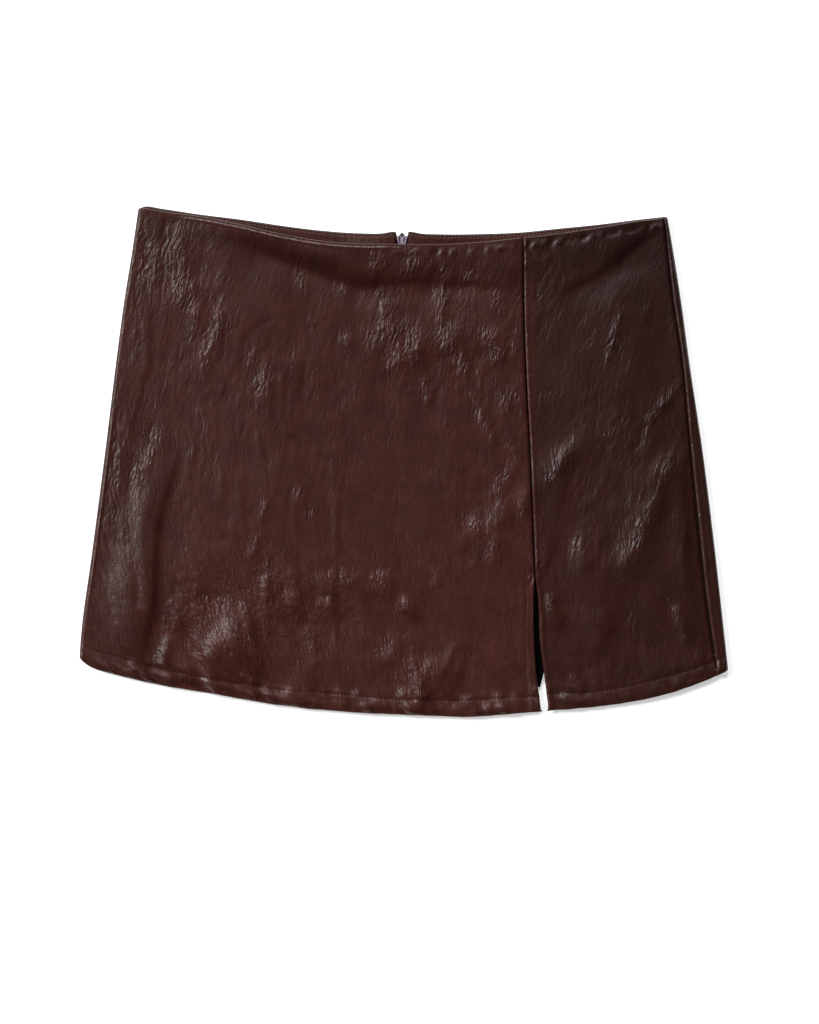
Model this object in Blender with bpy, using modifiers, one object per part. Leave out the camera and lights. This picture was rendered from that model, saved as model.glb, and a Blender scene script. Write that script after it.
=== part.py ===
"""Faux leather mini skort laid flat, front up, on the plane Z = 0.

X runs to the right as seen from above, Y from the hem to the waist and Z up. The origin is below the
middle of the garment. Sizes in the tables and constants are millimetres, and points become metres
where a mesh is written. Left and right are as seen from above.
"""

import math

import bmesh
import bpy
import numpy as np
from mathutils import Matrix, Vector

MM = 0.001

# Cloth
WALL = 1.1  # faux leather with its backing
JERSEY = 1.0  # inner shorts
TAPE = 1.0  # zip tape
GAP = 0.3  # between two pieces at a seam, and between two layers

# Layers that lie on each other, as heights of their upper faces
FOLD_RADIUS = 2.6  # outside of the fold at each side
FACING_TOP = 2 * WALL + GAP
SHORTS_BACK_TOP = WALL + GAP + JERSEY
SHORTS_FRONT_TOP = SHORTS_BACK_TOP + GAP + JERSEY
FRONT_LEAST = SHORTS_FRONT_TOP + GAP + WALL
LOFT = 1.5  # how far the front stands above its side folds
LOFT_REACH = 38.0
HEM_HEIGHT = 2.4  # upper face of the front at the hem, where nothing lies under it
HEM_DROP_REACH = 30.0

# Centre back zip
ZIP_X = -1.0
ZIP_LENGTH = 180.0
TAPE_REACH = 13.0  # outer edge of a tape from the zip's line
TAPE_STEP_REACH = 30.0  # where the layers above are down on the back again
COIL_HALF = 1.3
NOTCH_HALF = 2.0  # half of the notch in the waist edge above the slider
NOTCH_DEPTH = 11.5
FACING_DEPTH = 42.0
FACING_END = 5.0  # end of each facing from the zip's line, at the waist edge
FACING_SLANT = 2.0

# Slider and pull tab, on the zip's line
SLIDER_Y = 155.75
SLIDER_LENGTH = 9.1
SLIDER_WIDTH = 7.0
SLIDER_PLATE = 1.2
SLIDER_RIB = 0.9
ARCH_WIDTH = 1.0
ARCH_HALF_LENGTH = 2.0
ARCH_BAR = 0.5
ARCH_WINDOW_HALF = 1.1
ARCH_FLOOR = 0.1
PIN_Z = 1.35
TAB_THICK = 0.8
TAB_LENGTH = 17.0
TAB_EYE_WIDTH = 4.4
TAB_WIDTH = 6.0
TAB_HOLE_WIDTH = 1.8
TAB_HOLE_END = 2.9
TAB_TILT = math.radians(3.0)
LIFT = 2.1  # the back stands this far off the surface, over the pull tab
LIFT_HALF = 5.0
LIFT_REACH = 33.0
LIFT_LOW = 137.0
LIFT_END = 100.0

# Inner shorts
SHORTS_TOP_BELOW_WAIST = FACING_DEPTH + 2.0
SHORTS_SIDE_INSET = 13.0
CROTCH_Y = -70.0
STEP_X = 96.5  # past here the right front leg ends higher, which shows in the slit
STEP_Y = -142.2
LEG_GAP_HALF = 6.0
SHORTS_BACK_HEM = -126.0
SHORTS_ROWS = (0, 0.04, 0.08, 0.14, 0.26, 0.4, 0.55, 0.7, 0.82, 0.9, 0.95, 1)  # grid lines, hem to top

FLAP = 8.0  # the front turns under this far at the left, to the side seam

ROWS = 25
WIDE_COLUMNS = 23
NARROW_COLUMNS = 10
BACK_COLUMNS = 12


def table(columns, rows):
    """Rows under named columns, in order of the first column."""
    values = np.array(sorted(rows), float)
    return {name: values[:, i] for i, name in enumerate(columns.split())}


# Outline of the garment from above: where each side's fold stands, down its length
SIDES = table("y left right", [
    (179.0, -185.6, 183.6),
    (148.0, -190.1, 188.9),
    (113.0, -195.7, 194.4),
    (71.0, -201.3, 200.1),
    (8.0, -209.0, 209.5),
    (-62.0, -218.1, 218.2),
    (-125.0, -226.3, 225.2),
    (-146.0, -227.5, 227.5),
])

# Upper edges of the front and the back across the waist
WAIST = table("x front back", [
    (-186.0, 177.0, 177.6),
    (-181.0, 177.4, 179.0),
    (-170.5, 175.6, 177.6),
    (-142.5, 171.7, 173.4),
    (-114.5, 166.1, 169.9),
    (-86.5, 159.4, 165.7),
    (-58.5, 154.5, 162.2),
    (-30.5, 152.4, 160.2),
    (25.6, 152.2, 159.5),
    (53.6, 153.8, 159.7),
    (81.6, 156.6, 160.8),
    (109.6, 159.8, 163.6),
    (137.6, 164.0, 166.4),
    (165.6, 168.5, 169.9),
    (184.5, 170.8, 171.9),
])

# Lower edges of the front and the back across the hem
HEM = table("x front back", [
    (-227.4, -138.0, -137.6),
    (-219.5, -143.7, -137.4),
    (-205.5, -148.2, -137.2),
    (-184.5, -153.5, -137.0),
    (-128.5, -163.6, -136.8),
    (-100.5, -168.6, -136.6),
    (-58.5, -173.8, -136.5),
    (-16.5, -176.6, -136.5),
    (25.6, -178.3, -136.8),
    (39.6, -179.0, -137.0),
    (67.6, -177.4, -137.2),
    (95.6, -175.0, -137.6),
    (151.6, -169.6, -140.4),
    (179.6, -164.0, -142.2),
    (200.6, -157.7, -143.8),
    (227.4, -146.6, -145.6),
])

# Front seam, which opens into the hem slit: the edges of the wide and the narrow panel
FRONT_SEAM = table("y wide narrow", [
    (158.0, 83.9, 84.2),
    (113.0, 84.2, 84.5),
    (78.0, 85.1, 85.4),
    (8.0, 88.5, 88.8),
    (-55.0, 91.2, 91.5),
    (-74.0, 91.8, 92.1),
    (-82.0, 92.0, 92.5),
    (-97.0, 91.6, 94.2),
    (-125.0, 91.8, 95.4),
    (-146.0, 93.1, 98.1),
    (-175.0, 96.5, 101.7),
])

# Right side seam on the upper face, in from the outline
SIDE_SEAM = table("y inset", [
    (172.0, 2.0),
    (141.0, 4.6),
    (113.0, 5.6),
    (71.0, 5.0),
    (15.0, 8.1),
    (-41.0, 9.5),
    (-97.0, 9.8),
    (-146.0, 8.0),
])

# Lower edge of the shorts' front legs, before the step is cut
SHORTS_HEM = table("x y", [
    (-220.0, -128.0),
    (-190.0, -134.0),
    (-8.0, -150.0),
    (8.0, -154.0),
    (96.0, -158.0),
    (150.0, -148.0),
    (220.0, -128.0),
])

# Largest folds of the front: a ridge, or a trough below zero, between two points
FOLDS = table("x1 y1 x2 y2 width height", [
    (-112.0, 157.0, -76.0, 143.0, 9.0, -0.8),
    (-76.0, 143.0, -38.0, 132.0, 9.0, -1.0),
    (-30.0, 126.0, 46.0, 129.0, 9.0, -0.7),
    (46.0, 129.0, 80.0, 143.0, 9.0, -0.8),
    (-62.0, 147.0, 60.0, 145.0, 8.0, 0.7),
    (174.0, 156.0, 134.0, 126.0, 13.0, -0.8),
    (-180.0, 160.0, -174.0, 128.0, 8.0, 0.8),
    (-160.0, -8.0, -182.0, -126.0, 8.0, -0.9),
    (-190.0, 20.0, -203.0, -120.0, 11.0, 1.5),
    (-138.0, -78.0, -122.0, -122.0, 22.0, 1.3),
    (-96.0, 92.0, -160.0, 120.0, 15.0, 0.9),
    (-12.0, 82.0, 66.0, 86.0, 14.0, 1.0),
    (-84.0, 60.0, -90.0, -40.0, 16.0, 0.6),
    (-10.0, -30.0, 16.0, -90.0, 20.0, -0.5),
    (54.0, -50.0, 88.0, -24.0, 9.0, 1.1),
    (98.0, -12.0, 128.0, 14.0, 9.0, 1.1),
    (112.0, -60.0, 98.0, -24.0, 9.0, -0.7),
    (176.0, 40.0, 150.0, 100.0, 12.0, 0.7),
    (182.0, -8.0, 160.0, -70.0, 11.0, 1.3),
    (200.0, 24.0, 210.0, -128.0, 6.0, -0.9),
    (128.0, -70.0, 138.0, -130.0, 13.0, 0.7),
    (8.0, -150.0, 34.0, -146.0, 13.0, 1.2),
    (-160.0, -132.0, -150.0, -150.0, 7.0, 1.2),
    (-78.0, -160.0, -66.0, -150.0, 10.0, 1.0),
])


def read(rows, column, at):
    """A table's column as a smooth curve along its first column."""
    keys = next(iter(rows.values()))
    values = rows[column]
    slopes = np.gradient(values, keys)
    at = np.clip(at, keys[0], keys[-1])
    i = np.clip(np.searchsorted(keys, at) - 1, 0, len(keys) - 2)
    step = keys[i + 1] - keys[i]
    t = (at - keys[i]) / step
    start = (1 + 2 * t) * (1 - t) ** 2 * values[i] + t * (1 - t) ** 2 * step * slopes[i]
    return start + t * t * (3 - 2 * t) * values[i + 1] + t * t * (t - 1) * step * slopes[i + 1]


def ramp(value, start, end):
    """0 at start, 1 at end, and smooth between."""
    t = np.clip((value - start) / (end - start), 0, 1)
    return t * t * (3 - 2 * t)


def mix(a, b, share):
    return a + (b - a) * share


def pick(lines, u):
    """The value on the grid line that u runs to, of a list with an array for each line."""
    values = np.array([line + 0 * u for line in lines])
    place = u * (len(lines) - 1)
    low = np.clip(place.astype(int), 0, len(lines) - 2)
    each = np.arange(len(u))
    return mix(values[low, each], values[low + 1, each], place - low)


# Heights


def zip_lift(x, y):
    """How far the back is lifted off the surface by the pull tab under it."""
    across = ramp(np.abs(x - ZIP_X), LIFT_REACH, LIFT_HALF)
    return LIFT * across * ramp(y, LIFT_END, LIFT_LOW)


def over_zip(x, y):
    """How far a layer above the zip tapes is raised by them and by the pull tab."""
    across = ramp(np.abs(x - ZIP_X), TAPE_STEP_REACH, TAPE_REACH)
    tape_end = WAIST_AT_ZIP - ZIP_LENGTH
    return (TAPE + GAP) * across * ramp(y, tape_end - 50, tape_end - 25) + zip_lift(x, y)


def folds(x, y):
    """The largest folds of the front, added together."""
    total = 0.0 * x
    for x1, y1, x2, y2, width, height in zip(*FOLDS.values()):
        along = ((x - x1) * (x2 - x1) + (y - y1) * (y2 - y1)) / ((x2 - x1) ** 2 + (y2 - y1) ** 2)
        along = np.clip(along, 0, 1)
        off = np.hypot(x - mix(x1, x2, along), y - mix(y1, y2, along))
        total = total + height * np.exp(-((off / width) ** 2))
    return total


def hem_drop(x, y):
    """0 where the front lies on the back, 1 past the back's hem, where it is down on the surface."""
    return ramp(read(HEM, "back", x) - y, -4, HEM_DROP_REACH)


def front_height(x, y):
    """Upper face of the front away from the side folds."""
    in_from_side = np.minimum(x - read(SIDES, "left", y), read(SIDES, "right", y) - x)
    near = ramp(in_from_side, FOLD_RADIUS, LOFT_REACH)
    on_layers = 2 * FOLD_RADIUS + LOFT * near
    wrinkles = folds(x, y) * ramp(in_from_side, FOLD_RADIUS, FOLD_RADIUS + 12)
    drop = hem_drop(x, y)
    least = mix(FRONT_LEAST + 0.1, HEM_HEIGHT, drop)
    facing_zone = ramp(y, WAIST_AT_ZIP - SHORTS_TOP_BELOW_WAIST + 8, WAIST_AT_ZIP - 20)
    raised = least + over_zip(x, y) - facing_zone * (SHORTS_FRONT_TOP - FACING_TOP) * near
    return np.maximum(mix(on_layers, HEM_HEIGHT, drop) + wrinkles, raised)


WAIST_AT_ZIP = float(read(WAIST, "back", ZIP_X))


# Places on the flattened tube of the skirt. A place is its distance along the cloth from the middle of
# a side's fold, above zero on the upper face and below zero on the underside.

QUARTER = FOLD_RADIUS * math.pi / 2


def along_cloth(inset):
    """Distance along the cloth from the fold to a place this far in from the outline, on the upper face."""
    turned = FOLD_RADIUS * np.arccos(1 - np.minimum(inset, FOLD_RADIUS) / FOLD_RADIUS)
    return turned + np.maximum(inset - FOLD_RADIUS, 0)


def inset_and_height(s, height):
    """How far in from the outline a place is, and how high, where the upper face has this height."""
    turn = np.clip(s, -QUARTER, QUARTER) / FOLD_RADIUS
    inset = FOLD_RADIUS * (1 - np.cos(turn)) + np.maximum(np.abs(s) - QUARTER, 0)
    rise = FOLD_RADIUS * (1 + np.sin(turn))
    return inset, np.where(s > 0, mix(FOLD_RADIUS, height, np.sin(np.maximum(turn, 0))), rise)


def tube_points(side, places, u, v):
    """Points of the shell. places(y) lists a place on each grid line, counted from this side's fold."""
    inward = 1 if side == "left" else -1
    y = mix(-150.0, 165.0, v)
    for _ in range(12):
        s = pick(places(y), u)
        inset, _ = inset_and_height(s, 0)
        x = read(SIDES, side, y) + inward * inset
        upper = ramp(s, -QUARTER, QUARTER)
        top = mix(read(WAIST, "back", x), read(WAIST, "front", x), upper)
        bottom = mix(read(HEM, "back", x), read(HEM, "front", x), upper)
        y = mix(bottom, top, v)
    x = read(SIDES, side, y) + inward * inset
    _, z = inset_and_height(s, front_height(x, y))
    return x, y, np.where(s < -QUARTER, zip_lift(x, y), z)


def cloth(name, columns, rows, place, thickness, material, mirrored=False):
    """A panel of cloth: a grid whose points are moved to place(u, v), with a wall under its outer face."""
    bm = bmesh.new()
    bmesh.ops.create_grid(bm, x_segments=columns, y_segments=rows, size=1)
    u = np.array([(vertex.co.x + 1) / 2 for vertex in bm.verts])
    v = np.array([(vertex.co.y + 1) / 2 for vertex in bm.verts])
    for vertex, point in zip(bm.verts, np.column_stack(place(u, v)) * MM):
        vertex.co = point
    if mirrored:
        bmesh.ops.reverse_faces(bm, faces=bm.faces)
    obj = mesh_object(name, bm, material)
    wall = obj.modifiers.new("Wall", "SOLIDIFY")
    wall.thickness = thickness * MM
    wall.offset = -1
    wall.use_even_offset = True
    return obj


def mesh_object(name, bm, material):
    mesh = bpy.data.meshes.new(name)
    bm.to_mesh(mesh)
    bm.free()
    obj = bpy.data.objects.new(name, mesh)
    mesh.materials.append(material)
    garment.objects.link(obj)
    mesh.shade_smooth()
    mesh.set_sharp_from_angle(angle=math.radians(40))
    return obj


def finish(name, color, roughness, metallic=0.0):
    material = bpy.data.materials.new(name)
    material.use_nodes = True
    shader = material.node_tree.nodes["Principled BSDF"]
    shader.inputs["Base Color"].default_value = (*color, 1)
    shader.inputs["Roughness"].default_value = roughness
    shader.inputs["Metallic"].default_value = metallic
    return material


# Outer shell


def front_wide_lines(y):
    """From the side seam underneath, round the left fold and across to the front seam."""
    turned = [-QUARTER - FLAP, -QUARTER - 3, -QUARTER, -QUARTER * 0.6, 0, QUARTER * 0.6, QUARTER]
    seam = along_cloth(read(FRONT_SEAM, "wide", y) - read(SIDES, "left", y))
    flat = [mix(QUARTER + 4, seam, share) for share in np.linspace(0, 1, WIDE_COLUMNS)]
    return turned + flat


def front_narrow_lines(y):
    """From the front seam across to the side seam, which stands on the right fold or just inside it."""
    front = along_cloth(read(SIDES, "right", y) - read(FRONT_SEAM, "narrow", y))
    side = along_cloth(read(SIDE_SEAM, "inset", y))
    flat = [mix(front, side + 5, share) for share in np.linspace(0, 1, NARROW_COLUMNS)]
    return flat + [side + 2, side]


def zip_edge(side, y):
    """The place of a back panel's edge along the zip, which opens into a notch at the waist."""
    half = GAP / 2 + NOTCH_HALF * np.clip(1 - (WAIST_AT_ZIP - y) / NOTCH_DEPTH, 0, 1)
    edge = ZIP_X - half if side == "left" else ZIP_X + half
    return -QUARTER - np.abs(edge - read(SIDES, side, y)) + FOLD_RADIUS


def back_lines(side, y, start):
    """From a side seam along the underside to the zip, closer together where the back is lifted."""
    edge = zip_edge(side, y)
    flat = [mix(start, edge + LIFT_REACH, share) for share in np.linspace(0, 1, BACK_COLUMNS - 4)]
    return flat + [edge + LIFT_REACH * share for share in (0.72, 0.48, 0.24, 0)]


def back_right_lines(y):
    """From the side seam on the upper face, round the right fold and underneath to the zip."""
    seam = along_cloth(read(SIDE_SEAM, "inset", y)) - GAP
    turned = [mix(seam, -QUARTER, share) for share in (0, 0.1, 0.3, 0.5, 0.68, 0.84)]
    return turned + back_lines("right", y, -QUARTER)


def back_left_lines(y):
    """From the zip along the underside to the left side seam."""
    return back_lines("left", y, -QUARTER - FLAP - GAP)[::-1]


def shell_panel(name, side, lines):
    columns = len(lines(np.zeros(1))) - 1
    return cloth(name, columns, ROWS, lambda u, v: tube_points(side, lines, u, v), WALL, leather)


# Pieces that lie inside


def facing_place(side):
    """Top face of a facing, from the side fold to its slanting end at the zip."""
    way = -1 if side == "left" else 1

    def place(u, v):
        y = 0 * v + 150.0
        for _ in range(8):
            end = FACING_END + FACING_SLANT * (1 - v)
            outer = np.abs(read(SIDES, side, y) - ZIP_X) - FOLD_RADIUS - 3
            lines = [end, end + 9, end + 18, end + 30]
            lines += [mix(end + 30, outer, share) for share in np.linspace(0, 1, 9)[1:]]
            x = ZIP_X + way * pick(lines, u)
            top = read(WAIST, "back", x) - GAP
            y = top - FACING_DEPTH * (1 - v)
        return x, y, FACING_TOP + over_zip(x, y)

    return place


def shorts_place(side, top, front):
    """Upper face of one leg of the shorts, from the centre seam and inseam out to the side."""
    way = -1 if side == "left" else 1

    def place(u, v):
        y = mix(-140.0, 110.0, v)
        for _ in range(8):
            inseam = GAP / 2 + LEG_GAP_HALF * np.clip((CROTCH_Y - y) / 80, 0, 1)
            outer = np.abs(read(SIDES, side, y)) - SHORTS_SIDE_INSET
            inner = [inseam + out for out in (0, 8, 15, 27)]
            x = way * pick(inner + [mix(inseam + 27, outer, share) for share in (0.2, 0.4, 0.6, 0.8, 1)], u)
            high = read(WAIST, "back", x) - SHORTS_TOP_BELOW_WAIST
            low = np.interp(x, *SHORTS_HEM.values()) if front else SHORTS_BACK_HEM + 0 * y
            y = mix(low, high, pick(SHORTS_ROWS, v))
        past_back = ramp(read(HEM, "back", x) - y, 0, 20)
        return x, y, mix(top + over_zip(x, y), JERSEY + 2 * GAP, past_back)

    return place


def tape_place(side):
    """Upper face of a zip tape, from the coil outwards; beside the slider it stands back."""
    way = -1 if side == "left" else 1
    low_end = WAIST_AT_ZIP - ZIP_LENGTH
    slider_end = SLIDER_Y - SLIDER_LENGTH / 2
    rows = [low_end, 30, 70, 100, 112, 124, 136, slider_end - 1.5, slider_end - GAP, WAIST_AT_ZIP - 2]
    beside = SLIDER_WIDTH / 2 + GAP

    def place(u, v):
        y = np.interp(v, np.linspace(0, 1, len(rows)), rows)
        inner = np.where(y > slider_end - 1, beside, COIL_HALF)
        x = ZIP_X + way * mix(inner, TAPE_REACH, u)
        return x, y, WALL + GAP + TAPE + zip_lift(x, y)

    return place, len(rows) - 1


def flat_plate(outlines, thickness):
    """A mesh of flat outlines, the later ones being holes, extruded evenly about Z = 0."""
    curve = bpy.data.curves.new("Outline", "CURVE")
    curve.dimensions = "2D"
    curve.fill_mode = "BOTH"
    curve.extrude = thickness / 2 * MM
    for outline in outlines:
        spline = curve.splines.new("POLY")
        spline.points.add(len(outline) - 1)
        for point, (x, y) in zip(spline.points, outline):
            point.co = (x * MM, y * MM, 0, 1)
        spline.use_cyclic_u = True
    guide = bpy.data.objects.new("Outline", curve)
    helpers.objects.link(guide)
    bpy.context.view_layer.update()
    mesh = bpy.data.meshes.new_from_object(guide.evaluated_get(bpy.context.evaluated_depsgraph_get()))
    bpy.data.objects.remove(guide)
    bm = bmesh.new()
    bm.from_mesh(mesh)
    bmesh.ops.remove_doubles(bm, verts=bm.verts, dist=0.00001)
    bmesh.ops.recalc_face_normals(bm, faces=bm.faces)
    return bm


def block(size, middle, turn=0.0):
    """A box by its size and its middle, turned about Z."""
    bm = bmesh.new()
    bmesh.ops.create_cube(bm, size=1)
    bmesh.ops.scale(bm, vec=[side * MM for side in size], verts=bm.verts)
    bmesh.ops.rotate(bm, matrix=Matrix.Rotation(turn, 3, "Z"), verts=bm.verts)
    bmesh.ops.translate(bm, vec=[place * MM for place in middle], verts=bm.verts)
    return bm


def join(obj, bm, operation):
    """Adds a helper solid to an object, or cuts it away."""
    mesh = bpy.data.meshes.new("Helper")
    bm.to_mesh(mesh)
    bm.free()
    helper = bpy.data.objects.new("Helper", mesh)
    helper.location = obj.location
    helper.hide_render = True
    helper.display_type = "WIRE"
    helpers.objects.link(helper)
    boolean = obj.modifiers.new(operation.title(), "BOOLEAN")
    boolean.operation = operation
    boolean.object = helper


def slider():
    """Slider seen from inside: a tapered plate with two rails and a rib, and an arch for the pull outside."""
    half_widths = [(4.55, 2.5), (3.6, 3.2), (1.4, SLIDER_WIDTH / 2), (-1.0, 3.1), (-3.0, 2.4), (-4.55, 2.0)]
    outline = [(half, y) for y, half in half_widths] + [(-half, y) for y, half in half_widths[::-1]]
    plate_low = LIFT + WALL + GAP
    bm = flat_plate([outline], SLIDER_PLATE)
    bmesh.ops.translate(bm, vec=(0, 0, (plate_low + SLIDER_PLATE / 2) * MM), verts=bm.verts)
    obj = mesh_object("zip_slider", bm, slider_metal)
    obj.location = (ZIP_X * MM, SLIDER_Y * MM, 0)
    rib_middle = plate_low + SLIDER_PLATE + SLIDER_RIB / 2 - 0.2
    join(obj, block((1.0, 7.6, SLIDER_RIB), (0, 0, rib_middle)), "UNION")
    for way in (-1, 1):
        rail = block((0.8, 6.6, SLIDER_RIB), (way * 2.35, 0, rib_middle), way * -math.radians(6))
        join(obj, rail, "UNION")
    arch_high = plate_low + SLIDER_PLATE / 2
    arch_middle = (ARCH_FLOOR + arch_high) / 2
    arch = block((ARCH_WIDTH, 2 * ARCH_HALF_LENGTH, arch_high - ARCH_FLOOR), (0, 0, arch_middle))
    join(obj, arch, "UNION")
    window_low = ARCH_FLOOR + ARCH_BAR
    window = (3 * ARCH_WIDTH, 2 * ARCH_WINDOW_HALF, LIFT - window_low)
    join(obj, block(window, (0, 0, (window_low + LIFT) / 2)), "DIFFERENCE")


def pull_tab():
    """Teardrop pull. Its eye holds the slider's arch, and it hinges about the bar at the eye's end."""
    bar = TAB_THICK / 2
    eye, wide = TAB_EYE_WIDTH / 2, TAB_WIDTH / 2
    ring_y = -TAB_LENGTH + wide
    side = [(eye - 0.4, bar), (eye, bar - 0.4), (eye, -TAB_HOLE_END - 0.6), (eye * 0.75, -TAB_HOLE_END - 2.2)]
    end = [(wide * math.cos(a), ring_y - wide * math.sin(a)) for a in np.linspace(-0.3, math.pi / 2, 7)]
    right = side + end
    outline = right + [(-x, y) for x, y in right[-2::-1]]
    hole_half = TAB_HOLE_WIDTH / 2
    hole = [(-hole_half, -bar), (hole_half, -bar), (hole_half, -TAB_HOLE_END), (-hole_half, -TAB_HOLE_END)]
    bm = flat_plate([outline, hole], TAB_THICK)
    bmesh.ops.rotate(bm, matrix=Matrix.Rotation(TAB_TILT, 3, "X"), verts=bm.verts)
    obj = mesh_object("zip_pull_tab", bm, slider_metal)
    obj.location = Vector((ZIP_X, SLIDER_Y, PIN_Z)) * MM


for old in list(bpy.data.objects):
    bpy.data.objects.remove(old)
garment = bpy.data.collections.new("Faux leather skort")
helpers = bpy.data.collections.new("Helpers")
for collection in (garment, helpers):
    bpy.context.scene.collection.children.link(collection)

leather = finish("Faux leather", (0.045, 0.018, 0.015), 0.42)
jersey = finish("Black jersey", (0.006, 0.006, 0.007), 0.9)
tape = finish("Zip tape", (0.012, 0.007, 0.007), 0.85)
slider_metal = finish("Painted zip metal", (0.36, 0.32, 0.36), 0.4, 0.6)

shell_panel("front_wide", "left", front_wide_lines)
shell_panel("front_narrow", "right", front_narrow_lines)
shell_panel("back_left", "left", back_left_lines)
shell_panel("back_right", "right", back_right_lines)
leg_rows = len(SHORTS_ROWS) - 1
for side in ("left", "right"):
    mirrored = side == "left"
    back_leg = shorts_place(side, SHORTS_BACK_TOP, False)
    front_leg = shorts_place(side, SHORTS_FRONT_TOP, True)
    tape_points, tape_rows = tape_place(side)
    cloth(f"back_facing_{side}", 11, 3, facing_place(side), WALL, leather, mirrored)
    cloth(f"shorts_back_{side}", 8, leg_rows, back_leg, JERSEY, jersey, mirrored)
    leg = cloth(f"shorts_front_{side}", 8, leg_rows, front_leg, JERSEY, jersey, mirrored)
    if side == "right":
        join(leg, block((200, 100, 60), (STEP_X + 100, STEP_Y - 50, 0)), "DIFFERENCE")
    cloth(f"zip_tape_{side}", 2, tape_rows, tape_points, TAPE, tape, mirrored)
slider()
pull_tab()
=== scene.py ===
import math

import bmesh
import bpy
import numpy as np
from mathutils import Matrix, Vector
from mathutils.bvhtree import BVHTree


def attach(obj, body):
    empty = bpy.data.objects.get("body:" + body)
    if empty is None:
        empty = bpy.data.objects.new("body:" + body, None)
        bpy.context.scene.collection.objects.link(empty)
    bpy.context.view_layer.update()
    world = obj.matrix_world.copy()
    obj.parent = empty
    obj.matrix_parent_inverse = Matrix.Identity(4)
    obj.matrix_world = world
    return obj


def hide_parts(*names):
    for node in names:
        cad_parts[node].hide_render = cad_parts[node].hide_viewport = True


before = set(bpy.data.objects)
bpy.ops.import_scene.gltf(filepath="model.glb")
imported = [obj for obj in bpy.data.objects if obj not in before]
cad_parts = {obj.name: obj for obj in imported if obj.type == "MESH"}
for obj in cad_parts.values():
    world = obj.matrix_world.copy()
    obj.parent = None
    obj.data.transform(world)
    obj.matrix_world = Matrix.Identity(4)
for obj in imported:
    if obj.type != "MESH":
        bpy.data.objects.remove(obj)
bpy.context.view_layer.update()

# A faux leather skort laid flat, front up. X runs right, Y from hem to waist, Z up.
# Sizes are millimetres until a mesh is written.
mm = 0.001

layers = {
    "wall": 1.1,  # faux leather with its backing
    "jersey": 1.0,
    "tape": 1.0,
    "gap": 0.3,  # between two layers, and between two pieces at a seam
    "foldRadius": 2.6,
    "loft": 3.2,  # how far the front stands above its side folds
    "loftReach": 110.0,
    "rightReach": 50.0,
    "foldReach": (30.0, 12.0),  # folds have their whole height this far in from the left and the right side
    "facingEnds": (36.0, 20.0),  # the facing inside ends between these depths below the waist
    "softStep": 0.35,  # rounds the front over the layers beneath
    "hemHeight": 4.2,  # upper face of the front where nothing lies under it
    "hemDropReach": 40.0,
    "sideFlap": 8.0,  # the front turns under this far at the left
}
wall, gap, radius = layers["wall"], layers["gap"], layers["foldRadius"]
facingTop = 2 * wall + gap
shortsBackTop = wall + gap + layers["jersey"]
shortsFrontTop = shortsBackTop + gap + layers["jersey"]
frontLeast = shortsFrontTop + gap + wall


def table(columns, rows):
    # columns by name, of rows that stand in order
    values = np.array(rows, float)
    return {name: values[:, i] for i, name in enumerate(columns.split())}


# outline seen from above: where each side's fold stands
sides = table("y left right", [
    (-146, -227.5, 227.5), (-125, -226.3, 225.2), (-62, -218.1, 218.2), (8, -209, 209.5), (71, -201.3, 200.1),
    (113, -195.7, 194.4), (148, -190.1, 188.9), (179, -185.6, 183.6),
])
# upper edges across the waist
waist = table("x front back", [
    (-186, 177, 177.6), (-181, 177.4, 179), (-170.5, 175.6, 177.6), (-142.5, 171.7, 173.4), (-114.5, 166.1, 169.9),
    (-86.5, 159.4, 165.7), (-58.5, 154.5, 162.2), (-30.5, 152.4, 160.2), (-14, 152.3, 160.2), (-6.5, 152.2, 161.3),
    (-1, 152.2, 159.9), (4.5, 152.2, 161.3), (12, 152.2, 160), (25.6, 152.2, 159.5), (53.6, 153.8, 159.7),
    (81.6, 156.6, 160.8), (109.6, 159.8, 163.6), (137.6, 164, 166.4), (165.6, 168.5, 169.9), (184.5, 170.8, 171.9),
])
# lower edges across the hem
hem = table("x front back", [
    (-227.4, -138, -137.6), (-219.5, -143.7, -137.4), (-205.5, -148.2, -137.2), (-184.5, -153.5, -137),
    (-128.5, -163.6, -136.8), (-100.5, -168.6, -136.6), (-58.5, -173.8, -136.5), (-16.5, -176.6, -136.5),
    (25.6, -178.3, -136.8), (39.6, -179, -137), (67.6, -177.4, -137.2), (95.6, -175, -137.6), (151.6, -169.6, -140.4),
    (179.6, -164, -142.2), (200.6, -157.7, -143.8), (227.4, -146.6, -145.6),
])
# front seam, which opens into the hem slit: the edges of the wide and the narrow panel
frontSeam = table("y wide narrow", [
    (-175, 96.5, 101.7), (-146, 93.1, 98.1), (-125, 91.8, 95.4), (-97, 91.6, 94.2), (-82, 92, 92.5),
    (-74, 91.8, 92.1), (-55, 91.2, 91.5), (8, 88.5, 88.8), (78, 85.1, 85.4), (113, 84.2, 84.5), (158, 83.9, 84.2),
])
# right side seam on the upper face, in from the outline
sideSeam = table("y inset", [
    (-146, 8), (-97, 9.8), (-41, 9.5), (15, 8.1), (71, 5), (113, 5.6), (141, 4.6), (172, 2),
])
# how far the hem's stitch row stands from the edge
hemStitch = table("x depth", [
    (-227, 13.4), (-191, 12.8), (-157, 11.2), (-126, 10.7), (-103, 11.8), (-82, 11.4), (-58, 12.2), (-33, 12.1),
    (-17, 11.2), (12, 11.1), (39, 11.9), (58, 12), (79, 11.8), (92, 10.9), (103, 11.9), (128, 10.9), (156, 11.6),
    (194, 12.2), (209, 11.5), (218, 11),
])
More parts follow.
